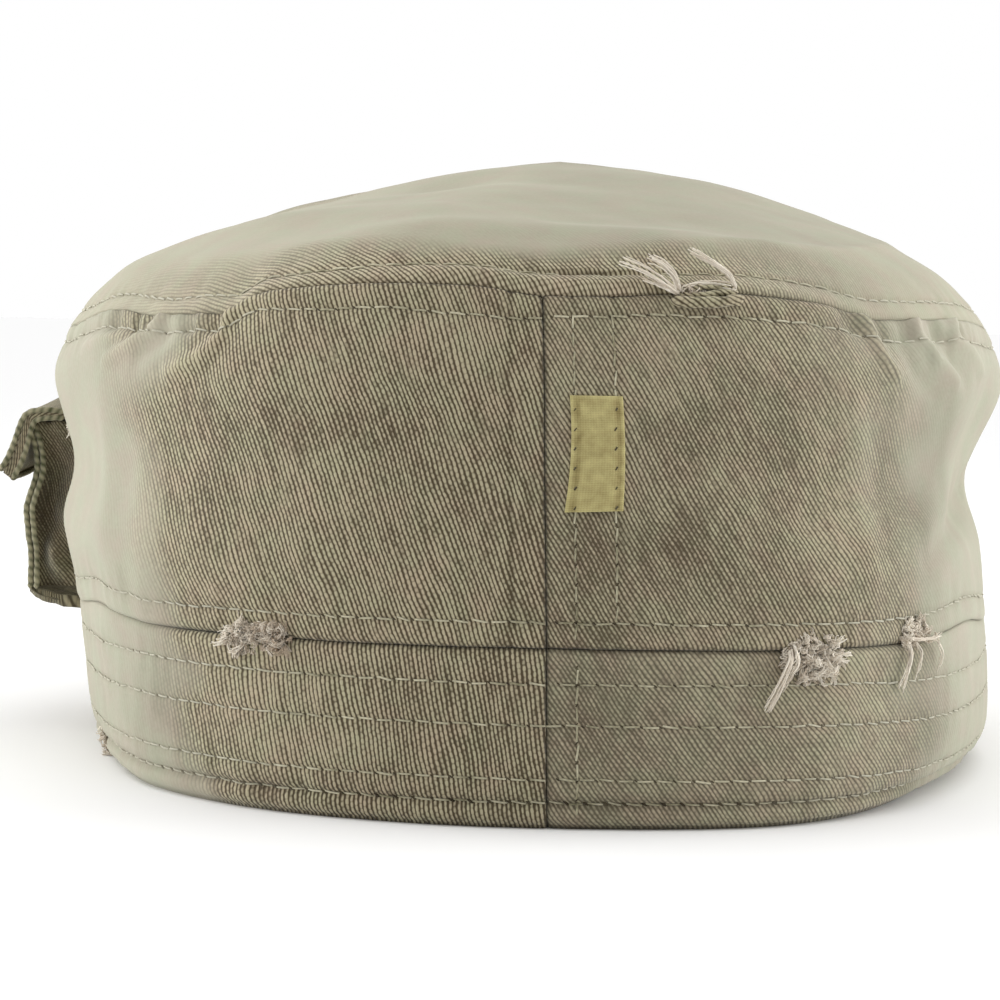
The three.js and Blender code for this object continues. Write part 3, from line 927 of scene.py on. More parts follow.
RIGHT_SEAM = 360 - SIDE_SEAM
BACK_SEAM_AGAIN = 360 + BACK_SEAM
back_left = crown_panel(
    "back_left_cloth", "back_left_panel", BACK_SEAM, SIDE_SEAM,
    turn=71, contrast=1.1, mirrored=False, upright=[ALLOWANCE_EDGE], seed=11,
)
right_width = lengths_along(skin(np.linspace(RIGHT_SEAM, BACK_SEAM_AGAIN, LINE_SAMPLES), SWAY_MIDDLE))[-1]
back_right = crown_panel(
    "back_right_cloth", "back_right_panel", RIGHT_SEAM, BACK_SEAM_AGAIN,
    turn=61, contrast=0.86, mirrored=True, upright=[right_width - row for row in TWIN_ROWS], seed=23,
)
front = crown_panel(
    "front_cloth", "front_panel", SIDE_SEAM, RIGHT_SEAM,
    turn=60, contrast=1, mirrored=False, upright=[], seed=37, step=1.5,
)


# The top panel: one oval of the same twill, pressed over the seam all round and
# topstitched, with the soft creases of a cap that has been folded away. Beside the
# centre back its edge puffs up like a cord.
TOP_ROW = named_rows(
    "angle edge",
    (-33, 3.7),
    (-22, 4.2),
    (-12, 5),
    (-3, 5),
    (4, 4.1),
    (12, 3.9),
    (20, 3.4),
)
TOP_GRAIN = -54
TOP_WALE = 0.66
TOP_DARK = (0.1, 0.078, 0.048)
TOP_LIGHT = (0.51, 0.455, 0.325)
# The top's pale colour where it is not crisp: painted light from overhead
TOP_LIT_PALE_LIGHT = (0.46, 0.435, 0.335)
TOP_COLUMNS = 520
TOP_SAMPLES = 300
TOP_STEP = 1.5
TOP_FINE_STEP = 0.35
TOP_HEM = 10
TOP_LAP = 0.01
TOP_HOLE = 0.12
TOP_ROUND = 92
TOP_SWELLS = named_rows(
    "height x y seed",
    (0.35, 21, 17, 52),
    (0.12, 7, 6, 53),
)
PUFF = dict(angle=-0.5, spread=10.5, edge=2.3, width=1.5, height=1.0)
TUCK = dict(angle=-6, spread=5.5, depth=0.75)
CREASE = dict(middle=6, edge=8.5, right=0.19, left=0.12, height=0.75, width=2.4, shown=-32, spread=48)


def top_grid():
    """The rings of the top panel: the distance of each point from the edge, its angle,
    its skin and way out, and its place on the cloth laid flat"""
    columns = np.linspace(0, 360, TOP_COLUMNS, endpoint=False)
    rings = np.linspace(TOP_SEAM + TOP_LAP, CENTRE - TOP_HOLE, TOP_SAMPLES)[:, None]
    reach = lengths_along(skin(columns[None], rings))
    middle = reach[-1].mean()
    levels = spaced_out(middle, TOP_STEP, TOP_FINE_STEP, [0, 1.5, 3, 4.5, 6])
    edge = np.empty((len(levels), TOP_COLUMNS))
    ring = np.empty_like(edge)
    for column, total in enumerate(reach[-1]):
        edge[:, column] = np.interp(levels, [0, TOP_HEM, middle], [0, TOP_HEM, total])
        ring[:, column] = np.interp(edge[:, column], reach[:, column], rings[:, 0])
    angle = np.repeat(columns[None], len(levels), 0)
    base = skin(angle, ring)
    centre = skin(0.0, CENTRE)
    inward = reach[-1] + np.linalg.norm(base[-1] - centre, axis=1) - edge
    flat = unit(base[..., :2] - centre[:2]) * inward[..., None]
    return edge, angle, base, outward(angle, ring), flat


def top_relief(edge, turn, row, crease, flat):
    """The dipped edge and stitch row, the puffed stretch of the edge, the tuck in its
    row, the crease above it and the soft swells of the top"""
    relief = seam_roll(edge, turn, depth=0.4) + stitch_groove(edge - row, np.radians(turn) * TOP_ROUND, 51)
    puffed = 1 / (1 + ((turn - PUFF["angle"]) / PUFF["spread"]) ** 8)
    relief += PUFF["height"] * puffed * ridge(edge - PUFF["edge"], PUFF["width"])
    for swell in TOP_SWELLS:
        waves = soft_noise(flat[..., 0] / swell["x"], flat[..., 1] / swell["y"], swell["seed"])
        relief += swell["height"] * waves * np.minimum(edge / TOP_HEM, 1)
    relief -= TUCK["depth"] * row_tuck(edge, turn, row)
    return relief + CREASE["height"] * crease_shown(turn) * ridge(edge - crease, CREASE["width"])


def row_tuck(edge, turn, row):
    """The short stretch where the row of stitches has pulled the cloth in deeper"""
    return ridge(turn - TUCK["angle"], TUCK["spread"]) * ridge(edge - row, 0.45)


def crease_shown(turn):
    """The crease above the edge shows on the right of the back and fades at its ends"""
    return ridge(turn - CREASE["shown"], CREASE["spread"])


def top_wear_and_shade(edge, turn, row, crease, base):
    """The top is worn pale beside its edge and in the fray, with a painted highlight on the
    crease; it has painted shade in the seam and in the tuck, and is darker on the wearer's right"""
    wear_and_painted_light = SWELL_PALE * ridge(edge - 1.5, 1) - 0.2 * ridge(edge, 0.4) * crispness(turn)
    wear_and_painted_light += 0.1 * crease_shown(turn) * ridge(edge - crease, 1.6) - 0.3 * row_tuck(edge, turn, row)
    wear_and_painted_light -= 0.15 / (1 + np.exp((base[..., 0] + 8) / 8)) * np.minimum(edge / 25, 1)
    return wear_and_painted_light + FRAY_PALE * frayed(base)


def top_cloth():
    edge, angle, base, normal, flat = top_grid()
    turn = (angle + 180) % 360 - 180
    row = np.interp(turn, *([place[key] for place in TOP_ROW] for key in ("angle", "edge")))
    off_middle = turn - CREASE["middle"]
    crease = CREASE["edge"] + np.where(off_middle < 0, -CREASE["right"], CREASE["left"]) * off_middle
    outer = base + normal * top_relief(edge, turn, row, crease, flat)[..., None]
    inner = base - normal * CROWN_CLOTH
    # Away from its edge the top is less crisp, and so painted pale for the light that falls on it
    lit_paling = 1 + (edge / np.maximum(crease - 1 + 2 * soft_noise(turn / 6, edge / 5, 54), 2)) ** 6
    crisp_edge = (0.35 * ridge(turn - 30, 34) + ridge(turn + 2, 30)).clip(0, 1) / lit_paling
    crisp = CRISP_LEAST + (1 - CRISP_LEAST) * crisp_edge + front_crispness(base)
    centre = skin(0.0, CENTRE)
    middle = np.stack([centre, centre - [0, 0, CROWN_CLOTH]])
    grain = turned_map(flat[..., 0], flat[..., 1], TOP_GRAIN)
    wear_and_painted_light = top_wear_and_shade(edge, turn, row, crease, base)
    top_twill = twill_material("top twill", TOP_DARK, TOP_LIGHT, TOP_WALE, TOP_LIT_PALE_LIGHT)
    piece = sheet_piece("top_cloth", outer, inner, top_twill, grain, wear_and_painted_light, crisp, middle)
    keep(piece, "top_panel")
    line = []
    for column in np.r_[0:TOP_COLUMNS, 0]:
        level = np.interp(row[0, column], edge[:, column], np.arange(len(edge)))
        lower = int(level)
        share = level - lower
        pair = [part[lower : lower + 2, column] for part in (outer, normal)]
        line.append([below * (1 - share) + above * share for below, above in pair])
    return np.array(line)


top_stitch_line = top_cloth()


# The band: the same twill folded double round the head, quilted with rows of stitches
# and turned under at the rim, where the lowest row pulls in a rounded lip.
BAND_CLOTH = 2.2
BAND_ROWS = (4.1, 7.9, 16.3, 22.7)
BAND_SIDE_SEAMS = {"band_left": 99, "band_right": -79}
BAND_STEP = 1.15
LIP_WIDTH = 0.8
BAND_WALE = 0.7
band_twill = twill_material("band twill", CLOTH_DARK, CLOTH_LIGHT, BAND_WALE)


def band_relief(cloth, seed):
    """The rim's rounded lip, the sunk stitch rows and the soft swells of the band"""
    along = cloth.from_start
    relief = seam_roll(cloth.down, cloth.angle) - ridge(cloth.up, LIP_WIDTH)
    relief += 0.35 * ridge(cloth.up - 2.1, 1.1) - 0.55 * ridge(cloth.up - BAND_ROWS[0], LIP_WIDTH)
    for place, row in enumerate(BAND_ROWS):
        relief += stitch_groove(cloth.up - row, along, seed + place)
    relief += 0.3 * soft_noise(along / 16, cloth.up / 12, seed + 5)
    return relief - end_dips(cloth) - FRAY_DIP * frayed(cloth.base)


def band_half(name, node, start, end, turn, contrast, mirrored, seed):
    """One half of the band, laid out like a crown panel, with a seam at the side"""
    width = lengths_along(skin(np.linspace(start, end, LINE_SAMPLES), 1.0))[-1]
    upright = [width - TWIN_ROWS[0]] if mirrored else []
    cloth = Cloth(start, end, RIM, BAND_SEAM, BAND_ROWS, [1.5], upright, BAND_STEP)
    side = -cloth.from_end if mirrored else cloth.from_start
    relief = band_relief(cloth, seed)
    relief += stitch_groove(side - BAND_SIDE_SEAMS[node], cloth.up, seed + 6, depth=0.2)
    cloth.raise_by(relief)
    over_seam = cloth.up - cloth.up[-1, 0]
    crisp = cloth_crispness(cloth.angle, side, over_seam, seed + 12) * contrast
    crisp += front_crispness(cloth.base)
    # The tone of the darker and paler patches
    fading = tone_patches(side, over_seam)[0]
    # The lowest row is darkened along its groove: painted shade
    wear_and_painted_light = seam_wear_and_shade(cloth, seed) + fading - 0.22 * ridge(cloth.up - BAND_ROWS[0], LIP_WIDTH)
    grain = back_map(side, cloth.up, turn)
    piece = sheet_piece(name, cloth.outer, cloth.inner(BAND_CLOTH), band_twill, grain, wear_and_painted_light, crisp)
    keep(piece, node)
    return cloth


band_left = band_half(
    "band_left_cloth", "band_left", BACK_SEAM, FRONT_SEAM,
    turn=81, contrast=1.35, mirrored=False, seed=61,
)
band_right = band_half(
    "band_right_cloth", "band_right", FRONT_SEAM, BACK_SEAM_AGAIN,
    turn=54, contrast=0.78, mirrored=True, seed=67,
)


# The tapes: a sweatband inside the band and narrow tapes behind the other seams, sewn
# flat to the back of the cloth so that no seam lets light through.
TAPE_THICKNESS = 0.7
TAPE_GRAIN = 60
TAPES = named_rows(
    "name middle reach lower upper depth slot rows columns",
    ("sweatband", 179.9, 179.9, 0.12, 2.6, 2.35, "band_twill", 12, 260),
    ("top_seam_tape", 179.9, 179.9, 5.55, 6.7, 1.75, "crown_twill", 9, 260),
    ("back_seam_tape", BACK_SEAM, 3, 2.62, 5.5, 1.7, "crown_twill", 24, 5),
    ("left_seam_tape", SIDE_SEAM, 3, 2.62, 5.5, 1.7, "crown_twill", 24, 5),
    ("right_seam_tape", RIGHT_SEAM, 3, 2.62, 5.5, 1.7, "crown_twill", 24, 5),
)


def sew_tape(tape):
    levels = np.linspace(tape["lower"], tape["upper"], tape["rows"])
    columns = tape["middle"] + np.linspace(-tape["reach"], tape["reach"], tape["columns"])
    ring = np.repeat(levels[:, None], tape["columns"], 1)
    angle = swayed(np.repeat(columns[None], tape["rows"], 0), ring)
    base = skin(angle, ring)
    normal = outward(angle, ring)
    grain = turned_map(lengths_along(base, 1), lengths_along(base), TAPE_GRAIN)
    outer = base - normal * tape["depth"]
    inner = base - normal * (tape["depth"] + TAPE_THICKNESS)
    keep(sheet_piece(tape["name"], outer, inner, crown_twill, grain, crisp=0.5))


for tape in TAPES:
    sew_tape(tape)


# The peak: a stiff crescent covered in the same twill, run round with rows of stitches
# and rolled over at its edge. Its root is caught under the front of the band.
PEAK_SPAN = 58
PEAK_REACH = 52
PEAK_END = 4
PEAK_ROUNDING = 0.8
PEAK_WIDENING = 1.04
PEAK_EDGE_ARCH = 4.6
PEAK_CLEARANCE = 0.15
PEAK_THICKNESS = 2.8
PEAK_ROOT_GAP = 0.3
PEAK_ROWS = (2.6, 8.2, 13.8, 19.4, 25)
PEAK_GRAIN = 58
PEAK_COLUMNS = 170
PEAK_STEP = 1.2
PEAK_FINE_STEP = 0.35
PEAK_ROLL = 1.4
PEAK_ROLL_DEPTH = 0.92
peak_twill = twill_material("peak twill", CLOTH_DARK, CLOTH_LIGHT, WALE)


def peak_outline():
    """Across the peak: its lip under the band, the inner end of its root, and its edge"""
    place = np.linspace(1, -1, PEAK_COLUMNS)
    angle = 180 - PEAK_SPAN * place
    root = skin(angle, float(RIM))
    out = outward(angle, float(RIM))
    end = skin(180 - PEAK_SPAN * np.where(place < 0, -1.0, 1.0), float(RIM))
    swing = np.radians(90 * place)
    depth = -skin(180.0, float(RIM))[1] + PEAK_REACH + end[:, 1]
    edge = np.stack([
        np.abs(end[:, 0]) * PEAK_WIDENING * np.sin(swing),
        end[:, 1] - PEAK_END - (depth - PEAK_END) * np.maximum(np.cos(swing), 0) ** PEAK_ROUNDING,
        PEAK_THICKNESS + PEAK_CLEARANCE + PEAK_EDGE_ARCH * np.cos(swing),
    ], -1)
    lip = root + out * PEAK_ROOT_GAP
    lip[:, 2] = root[:, 2] - PEAK_ROOT_GAP
    inner_root = root - out * BAND_CLOTH
    inner_root[:, 2] = lip[:, 2]
    return lip, inner_root, edge


def peak_cloth():
    lip, inner_root, edge = peak_outline()
    reach = np.linalg.norm(edge - lip, axis=1)
    widest = reach.max()
    levels = spaced_out(widest, PEAK_STEP, PEAK_FINE_STEP, [0, 1, *PEAK_ROWS])
    share = np.minimum(levels[:, None] / reach, 1 - 0.02 * (1 - levels[:, None] / widest))
    upper = np.concatenate([edge + (lip - edge) * share[..., None], inner_root[None]])
    from_edge = np.concatenate([share * reach, reach[None] + BAND_CLOTH])
    across = 90 * np.linspace(1, -1, PEAK_COLUMNS)
    groove = np.zeros_like(from_edge)
    for number, row in enumerate(PEAK_ROWS):
        groove += stitch_groove(from_edge - row, across, 71 + number)
    roll = np.sqrt(np.clip(1 - (1 - np.minimum(from_edge / PEAK_ROLL, 1)) ** 2, 0, 1))
    rounding = PEAK_ROLL_DEPTH * PEAK_THICKNESS / 2 * (1 - roll)
    top = upper.copy()
    bottom = upper.copy()
    top[..., 2] += groove - rounding
    bottom[..., 2] -= PEAK_THICKNESS + groove - rounding
    grain = turned_map(top[..., 0], top[..., 1], PEAK_GRAIN)
    wear_and_painted_light = 0.14 * ridge(from_edge, 1.5)
    crisp = 0.75 - 0.5 * ridge(from_edge, PEAK_ROLL)
    keep(sheet_piece("peak_cloth", top, bottom, peak_twill, grain, wear_and_painted_light, crisp), "peak")
    lines = []
    for row in PEAK_ROWS:
        level = np.argmin(np.abs(levels - row))
        chosen = reach > row + 2
        for face, way in ((top, 1), (bottom, -1)):
            line = face[level, chosen]
            lines.append(np.stack([line, np.tile([0.0, 0.0, way], (len(line), 1))], 1))
    return lines


peak_stitch_lines = peak_cloth()


# The pocket: a small bellows pouch on the wearer's left, just above the band. Its face
# stands off the wall on pleated gussets, and a doubled flap is folded down over its mouth.
POCKET_FROM = 86
POCKET_TO = 121
POCKET_LOWER = 1.87
POCKET_UPPER = 4.4
POCKET_DEPTH_LOW = 9.4
POCKET_DEPTH_HIGH = 7.8
POCKET_WAIST = 1.7
POCKET_CLOTH = 1.1
POCKET_GRAIN = 62
FLAP_FROM = 84.5
FLAP_TO = 122.5
POCKET_BULGE = 0.9
POCKET_LIP = 0.16
POCKET_STANDOFF = 0.3
POCKET_RISE = 33
POCKET_FACE = 52
GUSSET_WIDTH = 9
GUSSET_TUCK = 3.2
GUSSET_COLUMNS = 26
FACE_COLUMNS = 44
FLAP_CLOTH = 1.8
FLAP_TIP_CLOTH = 3.4
FLAP_SAG = 0.5
FLAP_STEPS = 60
FLAP_SECTION = named_rows(
    "out ring",
    (0.4, 4.54),
    (4, 4.56),
    (8, 4.5),
    (11.2, 4.22),
    (14.2, 3.82),
)
HEM_FROM = 0.35
HEM_TO = 0.9
POCKET_DARK = (0.09, 0.074, 0.048)
POCKET_LIGHT = (0.34, 0.305, 0.21)
POCKET_WALE = 0.6
pocket_twill = twill_material("pocket twill", POCKET_DARK, POCKET_LIGHT, POCKET_WALE)


def off_wall(angle, ring, out):
    """A point that stands off the wall, level with the floor"""
    away = outward(angle, ring)
    away[..., 2] = 0
    return skin(angle, ring) + unit(away) * np.asarray(out)[..., None]


def grid_normals(points):
    """The way out of a grid of points whose rows run upwards"""
    return unit(np.cross(np.gradient(points, axis=0), np.gradient(points, axis=1)))


def pouch_layout():
    """The pouch laid flat: the height of each row, and for each column how far it
    reaches out from the wall, how far across the face it is, and how its pleat turns"""
    height = np.concatenate([-np.linspace(1, 0.06, 12), np.linspace(0, 1, 56)])[:, None]
    gusset = np.linspace(0, 1, GUSSET_COLUMNS)
    face = np.linspace(0, 1, FACE_COLUMNS)[1:-1]
    reach = np.concatenate([gusset, np.ones(len(face)), gusset[::-1]])
    across = np.concatenate([gusset * 0, face, gusset * 0 + 1])
    pleat = np.concatenate([np.sin(np.pi * gusset), face * 0, -np.sin(np.pi * gusset[::-1])])
    gusset_girth = gusset * GUSSET_WIDTH
    far_gusset = GUSSET_WIDTH + POCKET_FACE + gusset_girth
    girth = np.concatenate([gusset_girth, GUSSET_WIDTH + face * POCKET_FACE, far_gusset])
    return height, reach, across, pleat, girth


def pouch_surface(height, reach, across, pleat):
    """The pouch's outer face: it narrows at its waist, bulges in the middle of its face
    and folds inwards along its gussets, and its bottom is rounded"""
    rise = np.maximum(height, 0)
    fall = np.minimum(height, 0)
    waist = POCKET_WAIST * np.sin(np.pi * rise)
    depth = POCKET_DEPTH_LOW + (POCKET_DEPTH_HIGH - POCKET_DEPTH_LOW) * rise - waist
    depth = depth * np.sqrt(np.maximum(1 - fall**2, 0)) + 0.4
    bottom = POCKET_LOWER + POCKET_LIP
    bulge = np.where((across > 0) & (across < 1), POCKET_BULGE * np.sin(np.pi * across), 0)
    bulge = bulge * np.sin(np.pi * rise * 0.8)
    lobe = 1 - 1.5 * ridge(rise - 0.17, 0.16) * ridge(reach - 0.4, 0.36)
    flattened = (1 - ridge(rise - 1, 0.2)) * np.where(height < 0, 1 + fall, 1)
    angle = POCKET_FROM + (POCKET_TO - POCKET_FROM) * across + GUSSET_TUCK * pleat * lobe * flattened
    ring = bottom + (POCKET_UPPER - bottom) * rise + POCKET_LIP * fall + 0 * angle
    outer = off_wall(angle, ring, POCKET_STANDOFF + (depth + bulge - POCKET_STANDOFF) * reach)
    return outer + 0.12 * soft_noise(across * 20 + reach * 5, height * 16, 83)[..., None]


def pocket_pouch():
    height, reach, across, pleat, girth = pouch_layout()
    outer = pouch_surface(height, reach, across, pleat)
    normal = grid_normals(outer)
    grain = turned_map(girth + 0 * height, POCKET_RISE * height + 0 * girth, POCKET_GRAIN)
    crumple = soft_noise(reach * 4 + across * 3, height * 5, 84) * (1 - ridge(reach - 1, 0.2))
    outer += 0.3 * crumple[..., None]
    rise = np.maximum(height, 0)
    # Painted shade: the gussets are darker and the long valley of their fold darker still; the face's edge
    # is worn pale
    gusset_valley_shade = ridge(reach - 0.72 + 0.5 * (0.55 - rise) * (rise < 0.55), 0.2) * ridge(rise - 0.4, 0.3)
    wear_and_painted_light = 0.12 * ridge(reach - 1, 0.06) - 0.12 * np.abs(pleat) - 0.5 * gusset_valley_shade
    crisp = 1.0 - 0.12 * np.abs(pleat)
    inner = outer - normal * POCKET_CLOTH
    piece = sheet_piece("pouch_cloth", outer, inner, pocket_twill, grain, wear_and_painted_light, crisp)
    keep(piece, "pocket_pouch")
    corner = GUSSET_COLUMNS - 1
    return outer[10:, corner], outer[10:, -corner - 1]


def flap_hem(name, edge, out, beyond, cloth):
    """A strip of cloth turned over the cut edge of the flap, between its two ropes"""
    depth = np.linspace(HEM_FROM, HEM_TO, 8) * cloth
    strip = edge[:, None] - out[:, None] * depth[..., None]
    aside = unit(beyond)[:, None]
    grain = turned_map(depth + 0 * strip[..., 0], lengths_along(strip), POCKET_GRAIN)
    hem = sheet_piece(name, strip + aside * 0.25, strip - aside * 0.3, pocket_twill, grain, wear_and_painted_light=-0.1)
    keep(hem)


def pocket_flap():
    last = len(FLAP_SECTION) - 1
    place = np.linspace(last, 0, FLAP_STEPS)[:, None]
    section = row_at(FLAP_SECTION, place)
    across = np.linspace(0, 1, FLAP_STEPS)[None]
    angle = FLAP_FROM + (FLAP_TO - FLAP_FROM) * across + 0 * place
    ring = section["ring"] + 0 * across
    sag = FLAP_SAG * np.sin(np.pi * across) * np.sin(np.pi * place / last)
    upper = off_wall(angle, ring, section["out"] + sag)
    normal = grid_normals(upper)
    rim = np.minimum(np.minimum(across, 1 - across) * 50, (last - place) * 4)
    thin = 0.75 * ridge(rim, 0.7)
    top = upper - normal * thin[..., None]
    cloth = FLAP_CLOTH + (FLAP_TIP_CLOTH - FLAP_CLOTH) * place / last
    bottom = upper - normal * (cloth - thin)[..., None]
    grain = turned_map(lengths_along(upper, 1), lengths_along(upper), POCKET_GRAIN)
    wear_and_painted_light = 0.14 * ridge(rim, 1.2)
    keep(sheet_piece("flap_cloth", top, bottom, pocket_twill, grain, wear_and_painted_light), "pocket_flap")
    flap_hem("flap_rear_hem", upper[::-1, 0], normal[::-1, 0], upper[::-1, 0] - upper[::-1, 1], cloth[::-1])
    flap_hem("flap_front_hem", upper[:, -1], normal[:, -1], upper[:, -1] - upper[:, -2], cloth)
    flap_hem("flap_tip_hem", upper[0], normal[0], upper[0] - upper[1], cloth[:1])
    return upper, normal


pouch_edge, pouch_front_edge = pocket_pouch()
flap_grid, flap_normal = pocket_flap()


# The ropes: both edges of the pocket's face and of its flap are rolled and oversewn, so
# that each reads as a pair of twisted cords in dark green and pale thread.
ROPE_TURN = 1.5
ROPE_RADIUS = 0.52
ROPE_SIDES = 14
ROPE_STEP = 0.2
ROPE_SINK = 0.35
ROPE_INSET = 0.3
ROPE_GREEN = (0.07, 0.075, 0.038, 1)
ROPE_PALE = (0.36, 0.335, 0.225, 1)


def rope_material():
    material, tree = new_material("oversewn edge")
    twist = read_value(tree, "twist")
    place = tree.node("ShaderNodeTexCoord", {}, output=3)
    fibres = tree.node("ShaderNodeTexNoise", {"Vector": place, "Scale": 2500.0})
    patches = tree.node("ShaderNodeTexNoise", {"Vector": place, "Scale": 500.0, "Detail": 2.0})
    tone = (twist * 0.75 + (patches - 0.5) * 1.1 + 0.1).clamped()
    colour = tone.mix(ROPE_GREEN, ROPE_PALE)
    normal = tree.node("ShaderNodeBump", {"Strength": 0.5, "Distance": 0.1 * MM, "Height": fibres})
    finish_cloth(tree, colour, normal)
    return material


def tube_points(paths, radii, sides):
    """Round tubes along paths, with a radius at each point or round each ring, and with
    the faces that close them"""
    forward = unit(np.gradient(paths, axis=1))
    aside = unit(np.cross(forward, [0.31, 0.22, 0.92]))
    above = np.cross(forward, aside)
    turn = np.linspace(0, 2 * np.pi, sides, endpoint=False)
    radii = radii if radii.ndim == 3 else radii[..., None]
    spokes = aside[:, :, None] * np.cos(turn)[:, None] + above[:, :, None] * np.sin(turn)[:, None]
    points = paths[:, :, None] + spokes * radii[..., None]
    count, rows = paths.shape[:2]
    index = np.arange(count * rows * sides).reshape(count, rows, sides)
    after = np.roll(index, -1, 2)
    quads = np.stack([index[:, :-1], after[:, :-1], after[:, 1:], index[:, 1:]], -1).reshape(-1, 4)
    caps = [*index[:, 0, ::-1].tolist(), *index[:, -1].tolist()]
    return points.reshape(-1, 3), quads.tolist() + caps


def evenly(line, step):
    """A line of points carried on at an even step"""
    lengths = lengths_along(line)
    places = np.linspace(0, lengths[-1], max(2, round(lengths[-1] / step)))
    return np.stack([np.interp(places, lengths, line[:, axis]) for axis in range(3)], 1)


def rope(name, line, material):
    path = evenly(evenly(line, 1.0), ROPE_STEP)
    along = lengths_along(path)[:, None]
    turn = np.linspace(0, 2 * np.pi, ROPE_SIDES, endpoint=False)[None]
    twist = 0.5 + 0.5 * np.cos(turn + along * 2 * np.pi / ROPE_TURN)
    taper = np.sqrt(np.clip(np.minimum(along, along[-1] - along) / 0.5, 0.05, 1))
    lumps = 0.1 * soft_noise(along / 0.9, turn * 0.7, 88)
    radii = ROPE_RADIUS * taper * (0.9 + 0.14 * twist + lumps)
    points, faces = tube_points(path[None], radii[None], ROPE_SIDES)
    keep(add_mesh(name, points, faces, material, {"twist": twist.ravel() ** 0.7}))


def pocket_ropes():
    material = rope_material()
    for side, edge, way in (("rear", pouch_edge, 1.0), ("front", pouch_front_edge, -1.0)):
        rope(f"pouch_{side}_rope_outer", edge + [0.15, 0.1 * way, 0], material)
        rope(f"pouch_{side}_rope_inner", edge + [-1.0, 0.35 * way, 0], material)
    edge_cloth = np.linspace(FLAP_TIP_CLOTH, FLAP_CLOTH, FLAP_STEPS)[:, None]
    edges = (
        ("rear", flap_grid[:, 0], flap_normal[:, 0], edge_cloth),
        ("front", flap_grid[:, -1], flap_normal[:, -1], edge_cloth),
        ("tip", flap_grid[0], flap_normal[0], FLAP_TIP_CLOTH),
    )
    for side, edge, out, cloth in edges:
        rope(f"flap_{side}_rope_outer", edge - out * ROPE_SINK, material)
        rope(f"flap_{side}_rope_inner", edge - out * (cloth - ROPE_INSET), material)


pocket_ropes()


# The label: a bare gold tab of woven satin beside the centre-back seam, held at both
# sides by the twin rows of stitches, and a little skewed.
LABEL_LEFT = -3.9
LABEL_RIGHT = -11.95
LABEL_LOW = 21.1
LABEL_HIGH = 38.9
LABEL_CLOTH = 0.5
LABEL_WIDE = 8.5
LABEL_TALL = 17.5
LABEL_LIFT = 0.62
LABEL_PUFF = 0.3
LABEL_SKEW = 0.9
LABEL_BOW = 0.35
SATIN_DARK = (0.2, 0.15, 0.045, 1)
SATIN_LIGHT = (0.59, 0.525, 0.235, 1)


def label_material():
    material, tree = new_material("gold satin")
    across, along = cloth_place(tree)
    ribs = ((along * (2 * math.pi / 0.34)).maths("SINE") * 0.5 + 0.5) * 0.6
    ribs = ribs + ((across * (2 * math.pi / 0.42)).maths("SINE") * 0.5 + 0.5) * 0.4
    spot = tree.node("ShaderNodeCombineXYZ", {0: across * 0.5, 1: along * 0.5, 2: 4.0})
    patches = tree.node("ShaderNodeTexNoise", {"Vector": spot, "Scale": 1.0, "Detail": 3.0})
    tone = (ribs * 0.22 + (patches - 0.5) * 1.0 + 0.42 + read_value(tree, "wear_and_painted_light")).clamped()
    colour = tone.mix(SATIN_DARK, SATIN_LIGHT)
    normal = tree.node("ShaderNodeBump", {"Strength": 0.7, "Distance": 0.08 * MM, "Height": ribs})
    sockets = {"Base Color": colour, "Roughness": 0.62, "Normal": normal, "Specular IOR Level": 0.3}
    shader = tree.node("ShaderNodeBsdfPrincipled", {**sockets, "Sheen Weight": 0.1})
    tree.node("ShaderNodeOutputMaterial", {"Surface": shader})
    return material


def crown_spot(side, up):
    """A point on the outer face of the back panels, and the way out of it"""
    cloth = back_left if side > 0 else back_right
    distances = cloth.from_start if side > 0 else -cloth.from_end
    column = np.clip(np.searchsorted(distances[0], side), 1, distances.shape[1] - 1)
    share = (side - distances[0, column - 1]) / (distances[0, column] - distances[0, column - 1])
    spot = []
    for part in (cloth.base, cloth.normal):
        pair = []
        for beside in (column - 1, column):
            heights = cloth.up[:, beside]
            pair.append(np.array([np.interp(up, heights, part[:, beside, axis]) for axis in range(3)]))
        spot.append(pair[0] * (1 - share) + pair[1] * share)
    return spot


def woven_label():
    rows, columns = 46, 26
    points = np.empty((rows, columns, 3))
    normals = np.empty_like(points)
    up_share = np.linspace(0, 1, rows)
    side_share = np.linspace(0, 1, columns)
    for row, up in enumerate(up_share):
        skew = LABEL_SKEW * (1 - up) ** 2
        bow = LABEL_BOW * math.sin(math.pi * up)
        for column, side in enumerate(side_share):
            place = LABEL_RIGHT + (LABEL_LEFT - LABEL_RIGHT) * side + skew * side - bow
            height = LABEL_LOW + (LABEL_HIGH - LABEL_LOW) * up + 0.35 * (1 - side) * (1 - up)
            points[row, column], normals[row, column] = crown_spot(place, height)
    up = up_share[:, None]
    side = side_share[None]
    puff = LABEL_PUFF * np.sin(np.pi * side) ** 0.7 + 0.12 * soft_noise(up * 5, side * 2, 91)
    held = ridge((side - 0.86) * LABEL_WIDE, 0.6) + ridge((side - 0.1) * LABEL_WIDE, 0.6)
    edge = np.minimum(np.minimum(side, 1 - side) * LABEL_WIDE, np.minimum(up, 1 - up) * LABEL_TALL)
    lift = LABEL_LIFT + puff - 0.25 * held - 0.22 * ridge(edge, 0.35)
    outer = points + normals * lift[..., None]
    inner = points + normals * (lift - LABEL_CLOTH + 0.1 * ridge(edge, 0.35))[..., None]
    weave = np.stack([side * LABEL_WIDE + 0 * up, up * LABEL_TALL + 0 * side], -1)
    # Darker where the rows hold the label down: painted shade in the sunk stitching. Its edges are paler.
    wear_and_painted_light = -0.3 * held + 0.2 * ridge(edge, 0.4)
    keep(sheet_piece("label_satin", outer, inner, label_material(), weave, wear_and_painted_light), "label")


woven_label()


